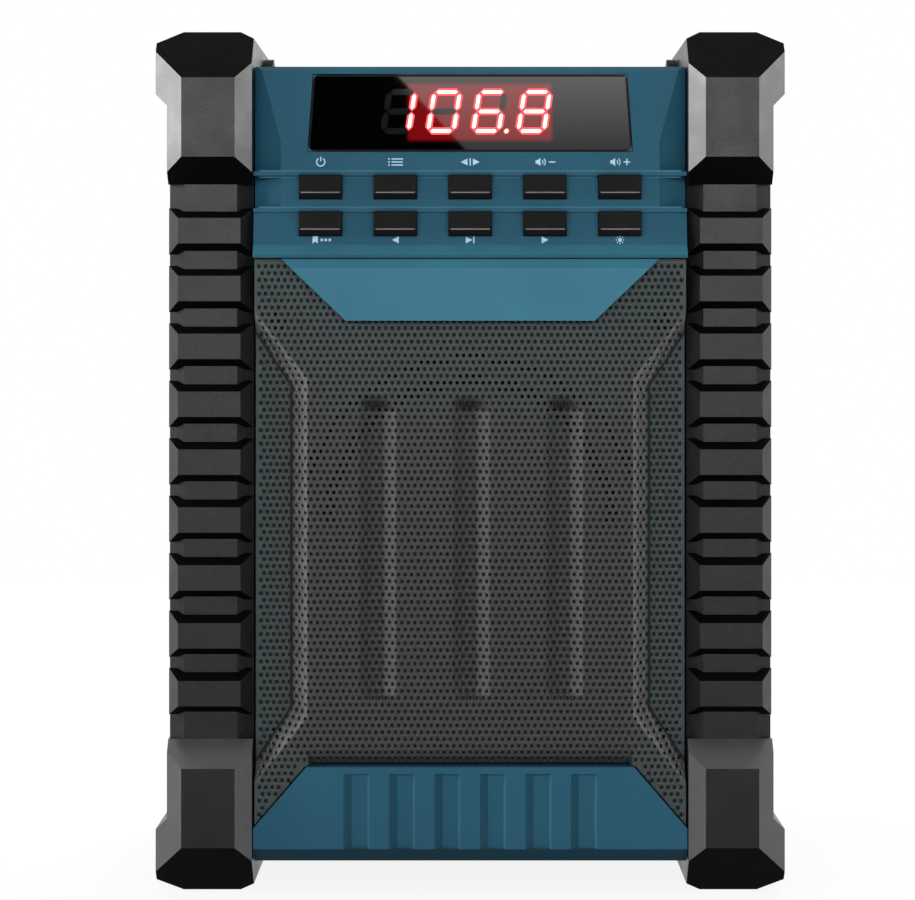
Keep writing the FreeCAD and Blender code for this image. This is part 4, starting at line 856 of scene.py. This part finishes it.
def scrim_kind(x, z):
    """Painted shade behind the speaker's rim, the pockets' walls and the screw wells, else warm or cool
    cloth.
    """
    on_arc = any(z > centre and abs(math.hypot(x, z - centre) - radius) < half
                 for centre, radius, half in RIM_ARCS)
    on_well = any(math.hypot(x - well_x, z - well_z) < WELL_RADIUS for well_x, well_z in WELLS)
    if on_arc or on_well or WALL_BRIM < pocket_share(x, z) < WALL_DARK:
        return "scrim_shade"
    if pocket_share(x, z) >= 1 or z > NOSE_LOW - COOL_TOP or z < SHOULDER_HEIGHT + COOL_ROWS:
        return "scrim_cool"
    return "scrim_warm"


def speaker_scrim():
    """Thin cloth against the back of the sheet, one cell to each hole."""
    mesh = bpy.data.meshes.new("speaker_scrim")
    work = bmesh.new()
    for x, z in hole_places():
        corners = cell_corners(x, z, SCRIM_CELL, EDGE_MARGIN / 2)
        if corners is not None:
            face = work.faces.new([cell_vertex(work, *corner, SCRIM_GAP) for corner in corners])
            face.material_index = SCRIM_KINDS.index(scrim_kind(x, z))
    work.to_mesh(mesh)
    work.free()
    thicken(add_piece("speaker_scrim", mesh, SCRIM_KINDS, "housing"), SCRIM_THICKNESS)


CREASE_WIDTH = 0.75
CREASE_INSET, CREASE_LIFT = 0.3, 0.6
CREASE_STEP = 3


def crease_depth(_, __):
    """The floor of the side pockets."""
    return SHEET_DEPTH + POCKET_DEPTH


def between(start, end, share):
    """A point some share of the way from one point to another."""
    return tuple(first + (last - first) * share for first, last in zip(start, end))


def pocket_crease_shade():
    """Painted shade along the feet of the side pockets' walls: dark strips where the folds are."""
    inner, outer = POCKET_INNER + POCKET_SLOPE, SHEET_HALF - CREASE_INSET
    (high_rise, high_start), (low_rise, low_start) = (foot for _, foot in POCKET_ENDS)
    low_end = max(low_start + low_rise * outer, sheet_floor(outer) + CREASE_LIFT)
    line = [(outer, low_end), (inner, low_start + low_rise * inner), (inner, high_start + high_rise * inner),
            (outer, high_start + high_rise * outer)]
    strips = []
    for side in (-1, 1):
        for start, end in zip(line, line[1:]):
            count = max(1, int(math.dist(start, end) / CREASE_STEP))
            for step in range(count):
                near_x, near_z = between(start, end, step / count)
                far_x, far_z = between(start, end, (step + 1) / count)
                quad = [(near_x, near_z), (near_x + CREASE_WIDTH, near_z), (far_x + CREASE_WIDTH, far_z),
                        (far_x, far_z)]
                strips.append([(side * x, z) for x, z in quad])
    plates("grille_creases", strips, crease_depth, 0.08, 0.3, "crease", "housing")


# Digits

DIGIT_LOW, DIGIT_HIGH = 211.1, 223.8
DIGIT_WIDTH = 8.8
DIGIT_PITCH = 12.55
FIRST_WHOLE_DIGIT = -12.7
STROKE = 1.7
STROKE_GAP = 0.25
CORE_SHRINK, HALO_GROWTH = 0.36, 0.16
POINT_AWAY = 1.3
POINT_RADIUS, POINT_CORE = 0.8, 0.55
SLANT = math.tan(math.radians(9))
SEGMENTS = {"0": "abcdef", "1": "bc", "6": "acdefg", "8": "abcdefg"}


def segment(which, grow):
    """One bar of a seven-part digit, upright, as corners from its lower left; grow widens it."""
    height = DIGIT_HIGH - DIGIT_LOW
    half = STROKE / 2 + grow
    inset = STROKE / 2
    gap = STROKE_GAP - grow
    if which in "adg":
        middle = {"a": height - inset, "g": height / 2, "d": inset}[which]
        left, right = inset + gap, DIGIT_WIDTH - inset - gap
        return [(left, middle), (left + half, middle - half), (right - half, middle - half),
                (right, middle), (right - half, middle + half), (left + half, middle + half)]
    middle = DIGIT_WIDTH - inset if which in "bc" else inset
    low, high = (height / 2, height - inset) if which in "bf" else (inset, height / 2)
    low, high = low + gap, high - gap
    return [(middle, low), (middle + half, low + half), (middle + half, high - half),
            (middle, high), (middle - half, high - half), (middle - half, low + half)]


def slanted(points, left):
    """A digit's points at its place, leaning to the right."""
    return [(left + x + z * SLANT, DIGIT_LOW + z) for x, z in points]


def digits():
    """The clock-style digits that the radio shows, with their unlit bars."""
    cores, halos, unlit = [], [], []
    for index, digit in enumerate("1068"):
        left = FIRST_WHOLE_DIGIT + (index - 1) * DIGIT_PITCH
        for which in "abcdefg":
            if which in SEGMENTS[digit]:
                cores.append(slanted(segment(which, -CORE_SHRINK), left))
                halos.append(slanted(segment(which, HALO_GROWTH), left))
            else:
                unlit.append(slanted(segment(which, 0), left))
        if digit == "6":
            point = DIGIT_WIDTH + POINT_AWAY
            cores.append(slanted(disc(point, POINT_RADIUS, POINT_CORE, sides=12), left))
            halos.append(slanted(disc(point, POINT_RADIUS, POINT_RADIUS, sides=12), left))
    plates("digits_lit", cores, glass_depth, 0.12, -0.06, "lit", "housing")
    plates("digits_edge", halos, glass_depth, 0.06, 0.1, "halo", "housing")
    plates("digits_unlit", unlit, glass_depth, 0.03, 0.1, "unlit", "housing")


# Plain signs in place of the words by the keys

INK = 0.36
KEY_PITCH = 20.75
UPPER_LABELS, LOWER_LABELS = 203.2, 181.5
ARROW = 1.9
LIST_STEP = 0.85


def arrow(x, z, way):
    """A triangle that points right, way 1, or left, way -1."""
    half = ARROW / 2
    points = [(x - way * half, z - half), (x + way * half, z), (x - way * half, z + half)]
    return points if way > 0 else points[::-1]


def power_sign(x, z):
    """An open ring with a stroke at its top."""
    return [arc(x, z, 1.15, INK, 125, 415), bar(x, z + 0.85, INK, 1.3)]


def list_sign(x, z):
    """Three dots, each with a line."""
    rows = [z + step * LIST_STEP for step in (-1, 0, 1)]
    return [bar(x - 1.8, row, 0.5, INK) for row in rows] + [bar(x + 0.5, row, 3.2, INK) for row in rows]


def seek_sign(x, z):
    """Two arrows apart, with a stroke between them."""
    return [arrow(x - 1.7, z, -1), arrow(x + 1.7, z, 1), bar(x, z, INK, 2.1)]


def loudspeaker(x, z):
    """A small loudspeaker with two waves."""
    cone = [(x - 1.2, z - 0.5), (x - 0.65, z - 0.5), (x + 0.15, z - 1.15), (x + 0.15, z + 1.15),
            (x - 0.65, z + 0.5), (x - 1.2, z + 0.5)]
    return [cone] + [arc(x + 0.1, z, radius, 0.26, -42, 42, 8) for radius in (0.75, 1.4)]


def volume_sign(x, z, louder):
    """A loudspeaker with a minus, or with a plus."""
    away, size = 2.0, 1.8
    shapes = loudspeaker(x - 1.4, z) + [bar(x + away, z, size, INK)]
    if louder:
        rest = (size - INK) / 2
        shapes += [bar(x + away, z + side * (INK + rest) / 2, INK, rest) for side in (-1, 1)]
    return shapes


def bookmark_sign(x, z):
    """A bookmark with three dots."""
    left, right, half = x - 2.2, x - 0.7, 1.05
    mark = [(left, z - half), ((left + right) / 2, z - 0.45), (right, z - half), (right, z + half),
            (left, z + half)]
    return [mark] + [bar(x + 0.4 + step * 1.1, z, 0.7, 0.7) for step in (0, 1, 2)]


def sun_sign(x, z):
    """A disc with eight rays."""
    near, far, half = 0.8, 1.2, 0.14
    shapes = [disc(x, z, 0.55, sides=16)]
    for step in range(8):
        turn = step * math.pi / 4
        along, side = Vector((math.cos(turn), math.sin(turn))), Vector((-math.sin(turn), math.cos(turn)))
        corners = (along * near - side * half, along * far - side * half, along * far + side * half,
                   along * near + side * half)
        shapes.append([(x + corner.x, z + corner.y) for corner in corners])
    return shapes


def symbols():
    """The signs above the upper keys and below the lower ones."""
    z = UPPER_LABELS
    upper = power_sign(-2 * KEY_PITCH, z) + list_sign(-KEY_PITCH, z) + seek_sign(0, z)
    upper += volume_sign(KEY_PITCH, z, False) + volume_sign(2 * KEY_PITCH, z, True)
    plates("labels_upper", upper, facet_depth, 0.06, 0.1, "symbol", "housing")
    z = LOWER_LABELS
    lower = bookmark_sign(-2 * KEY_PITCH, z) + [arrow(-KEY_PITCH, z, -1), arrow(KEY_PITCH, z, 1)]
    lower += [arrow(-0.3, z, 1), bar(1, z, INK, ARROW)] + sun_sign(2 * KEY_PITCH, z)
    plates("labels_lower", lower, shelf_depth, 0.06, 0.1, "symbol", "housing")


# Edges of the pane, the ledges and the keys

CORNER_RADIUS = 1.9
CORNER_STEPS = 6
BORDER = 0.5
PANE_CORNERS = ((-45.1, 206.2), (45.1, 206.2), (43.74, 227.8), (-43.74, 227.8))


def pane_corner(index):
    """A corner of the pane, and the directions to the corners before and after it."""
    here = Vector(PANE_CORNERS[index % 4])
    before, after = Vector(PANE_CORNERS[(index - 1) % 4]), Vector(PANE_CORNERS[(index + 1) % 4])
    return here, (before - here).normalized(), (after - here).normalized()


def pane_edges():
    """The opening's rounded corners, and the dark edge of the pane."""
    corners, edges = [], []
    for index in range(4):
        here, before, after = pane_corner(index)
        centre = here + (before + after) * CORNER_RADIUS
        turns = [step / CORNER_STEPS for step in range(CORNER_STEPS + 1)]
        sweep = [centre + (-before).slerp(-after, turn).normalized() * CORNER_RADIUS for turn in turns]
        corners.append([tuple(point) for point in [here] + sweep])
        there, back, onward = pane_corner(index + 1)
        edges.append([tuple(here), tuple(there), tuple(there + (back + onward) * BORDER),
                      tuple(here + (before + after) * BORDER)])
    plates("pane_corners", corners, glass_depth, 0.3, 0.1, "shell", "housing")
    plates("pane_border", edges, glass_depth, 0.02, 0.1, "key", "housing")


LEDGE_HIGHLIGHTS = ((200.7, True), (199.05, False), (190.55, True), (188.95, False))
LEDGE_HEIGHT = 0.42
LEDGE_HALF = 58.6
LEDGE_PROBE = 51.5
KEY_HALF = 6.6


def ledge_highlights():
    """Painted highlights on the edges of the two ledges, as pale lines, two of them right across and two
    broken by the keys.
    """
    shell = nodes["front_shell"].data
    tree = BVHTree.FromPolygons([vert.co for vert in shell.vertices],
                                [face.vertices for face in shell.polygons])

    def surface(x, z):
        """The panel's depth at a height, probed beside the keys on the same side."""
        start = Vector((math.copysign(LEDGE_PROBE, x) * MM, -1, z * MM))
        return tree.ray_cast(start, Vector((0, 1, 0)))[0].y / MM - FRONT

    stops = [place * KEY_PITCH + side * KEY_HALF for place in (-2, -1, 0, 1, 2) for side in (-1, 1)]
    stops = [-LEDGE_HALF] + stops + [LEDGE_HALF]
    strips = []
    for z, right_across in LEDGE_HIGHLIGHTS:
        spans = [(-LEDGE_HALF, LEDGE_HALF)] if right_across else zip(stops[::2], stops[1::2])
        strips += [bar((left + right) / 2, z, right - left, LEDGE_HEIGHT) for left, right in spans]
    plates("ledge_highlights", strips, surface, 0.05, 0.15, "nose", "housing")


KEY_FLANGE = 0.9
KEY_LEAN = 0.3 / 4.9
KEY_BEVEL = 1.5
RIDGE_HEIGHT = 0.34
RIDGE_RISE = 1.7
RIDGE_MARGIN = 0.5


def key_ridges():
    """The raised line near the foot of each key's face, paler than the key: a painted highlight where its top
    catches the light.
    """
    for key in KEYS:
        node = f"button_{key}"
        left, right = edge(node, 0, 0) + KEY_FLANGE, edge(node, 1, 0) - KEY_FLANGE
        low = edge(node, 0, 2) + KEY_FLANGE
        face = edge(node, 0, 1) - FRONT

        def surface(_, z, low=low, face=face):
            """The key's face, which leans back above its bevel."""
            return face + (z - low - KEY_BEVEL) * KEY_LEAN

        ridge = bar((left + right) / 2, low + RIDGE_RISE, right - left - 2 * RIDGE_MARGIN, RIDGE_HEIGHT)
        plates(f"key_ridge_highlight_{key}", [ridge], surface, 0.12, 0.2, "ridge", node)


# Light and floor

WORLD_LIGHT = 0.22
FLOOR_REACH = 4000
FLOOR_WHITE = 0.88
FLOOR_NEAR, FLOOR_FAR = 300, 1100
CARD_AHEAD = -1100
CARD_HALF = 220
CARD_LOW, CARD_TOP = 615, 737
GLARE_TOP = (-49.9, 702)
GLARE_FOOT = (-3.5, 647.4)
GLARE_DIM, GLARE_BRIGHT = 0.75, 2.3
SOFTBOXES = {
    "front": {"place": (0, -1150, 420), "target": (0, -60, 140), "size": (900, 340), "watts": 9.4},
    "left": {"place": (-1300, -200, 440), "target": (-80, -50, 200), "size": (700, 600), "watts": 16},
    "right": {"place": (1300, -130, 440), "target": (80, -50, 200), "size": (500, 600), "watts": 5.3},
    "top": {"place": (0, 350, 1400), "target": (0, 0, 200), "size": (900, 700), "watts": 6.5},
    "rear": {"place": (250, 1200, 700), "target": (0, 0, 120), "size": (900, 500), "watts": 13},
}


def lights():
    """Soft lamps at a plain level."""
    for name, box in SOFTBOXES.items():
        data = bpy.data.lights.new(f"{name}_softbox", "AREA")
        data.shape = "RECTANGLE"
        data.size, data.size_y = metres(box["size"])
        data.energy = box["watts"]
        made = bpy.data.objects.new(f"{name}_softbox", data)
        place, target = Vector(metres(box["place"])), Vector(metres(box["target"]))
        made.location = place
        made.rotation_euler = (target - place).to_track_quat("-Z", "Y").to_euler()
        bpy.context.scene.collection.objects.link(made)


def seen_directly(tree):
    """1 for rays from the camera, or by way of glass or gloss."""
    path = tree.nodes.new("ShaderNodeLightPath")
    share = path.outputs["Is Camera Ray"]
    for name in ("Is Glossy Ray", "Is Transmission Ray"):
        most = tree.nodes.new("ShaderNodeMath")
        most.operation = "MAXIMUM"
        tree.links.new(share, most.inputs[0])
        tree.links.new(path.outputs[name], most.inputs[1])
        share = most.outputs["Value"]
    return share


def surroundings():
    """A white backdrop where it is seen, which lights the radio only a little."""
    world = bpy.data.worlds.new("studio")
    world.use_nodes = True
    bpy.context.scene.world = world
    tree = world.node_tree
    plain = tree.nodes["Background"]
    white = tree.nodes.new("ShaderNodeBackground")
    for background, strength in ((plain, WORLD_LIGHT), (white, 1)):
        background.inputs["Color"].default_value = (1, 1, 1, 1)
        background.inputs["Strength"].default_value = strength
    both = tree.nodes.new("ShaderNodeMixShader")
    tree.links.new(seen_directly(tree), both.inputs["Fac"])
    tree.links.new(plain.outputs["Background"], both.inputs[1])
    tree.links.new(white.outputs["Background"], both.inputs[2])
    tree.links.new(both.outputs["Shader"], tree.nodes["World Output"].inputs["Surface"])


def flat_stage(name, corners, material):
    """A flat face that isn't part of the object."""
    mesh = bpy.data.meshes.new(name)
    mesh.from_pydata([metres(corner) for corner in corners], [], [(0, 1, 2, 3)])
    mesh.materials.append(material)
    made = bpy.data.objects.new(name, mesh)
    bpy.context.scene.collection.objects.link(made)
    return made


def floor():
    """A pale floor: white where it is seen, with the object's own shadow kept near it."""
    paint = Nodes("floor_paint")
    paint.shade(Base_Color=(0.85, 0.85, 0.85, 1), Roughness=0.9)
    x, y, _ = paint.coordinates()
    away = paint.math("SQRT", paint.math("ADD", paint.math("MULTIPLY", x, x), paint.math("MULTIPLY", y, y)))
    white = paint.remap(away, FLOOR_NEAR, FLOOR_FAR, FLOOR_WHITE, 1, smooth=True)
    lit = paint.new("ShaderNodeEmission")
    paint.give(lit.inputs["Color"], (1, 1, 1, 1))
    both = paint.new("ShaderNodeMixShader")
    paint.give(both.inputs["Fac"], paint.math("MULTIPLY", seen_directly(paint.tree), white))
    paint.give(both.inputs[1], paint.shader.outputs["BSDF"])
    paint.give(both.inputs[2], lit.outputs["Emission"])
    paint.surface(both.outputs["Shader"])
    square = bar(0, 0, 2 * FLOOR_REACH, 2 * FLOOR_REACH)
    flat_stage("floor", [(*corner, 0) for corner in square], paint.material)


def studio_card():
    """A card that only reflections see: dark on the left of a slanted edge, and pale on its right."""
    paint = Nodes("studio_card")
    x, _, z = paint.coordinates()
    run = (GLARE_FOOT[0] - GLARE_TOP[0]) / (GLARE_FOOT[1] - GLARE_TOP[1])
    slanted_edge = paint.math("MULTIPLY_ADD", z, run, GLARE_TOP[0] - run * GLARE_TOP[1])
    right = paint.math("GREATER_THAN", x, slanted_edge)
    rise = paint.remap(z, GLARE_FOOT[1], GLARE_TOP[1], GLARE_DIM, GLARE_BRIGHT)
    lit = paint.new("ShaderNodeEmission")
    paint.give(lit.inputs["Color"], (1, 0.97, 0.95, 1))
    paint.give(lit.inputs["Strength"], paint.math("MULTIPLY", right, rise))
    paint.surface(lit.outputs["Emission"])
    outline = bar(0, (CARD_LOW + CARD_TOP) / 2, 2 * CARD_HALF, CARD_TOP - CARD_LOW)
    card = flat_stage("studio_card", [(x, CARD_AHEAD, z) for x, z in outline], paint.material)
    card.visible_camera = card.visible_diffuse = card.visible_shadow = False
    card.visible_transmission = card.visible_volume_scatter = False


GUARD_EDGE, SMALL_EDGE = 0.5, 0.3

finish_nodes()
finish_guards()
finish_shell()
camera()
surroundings()
floor()
studio_card()
lights()
speaker_sheet()
speaker_scrim()
pocket_crease_shade()
digits()
symbols()
key_ridges()
ledge_highlights()
pane_edges()
for soft_node in WORN["guard"]:
    soften(soft_node, GUARD_EDGE)
for soft_node in WORN["key"] + ["nose_plate", "battery_door", "carry_handle"]:
    soften(soft_node, SMALL_EDGE)
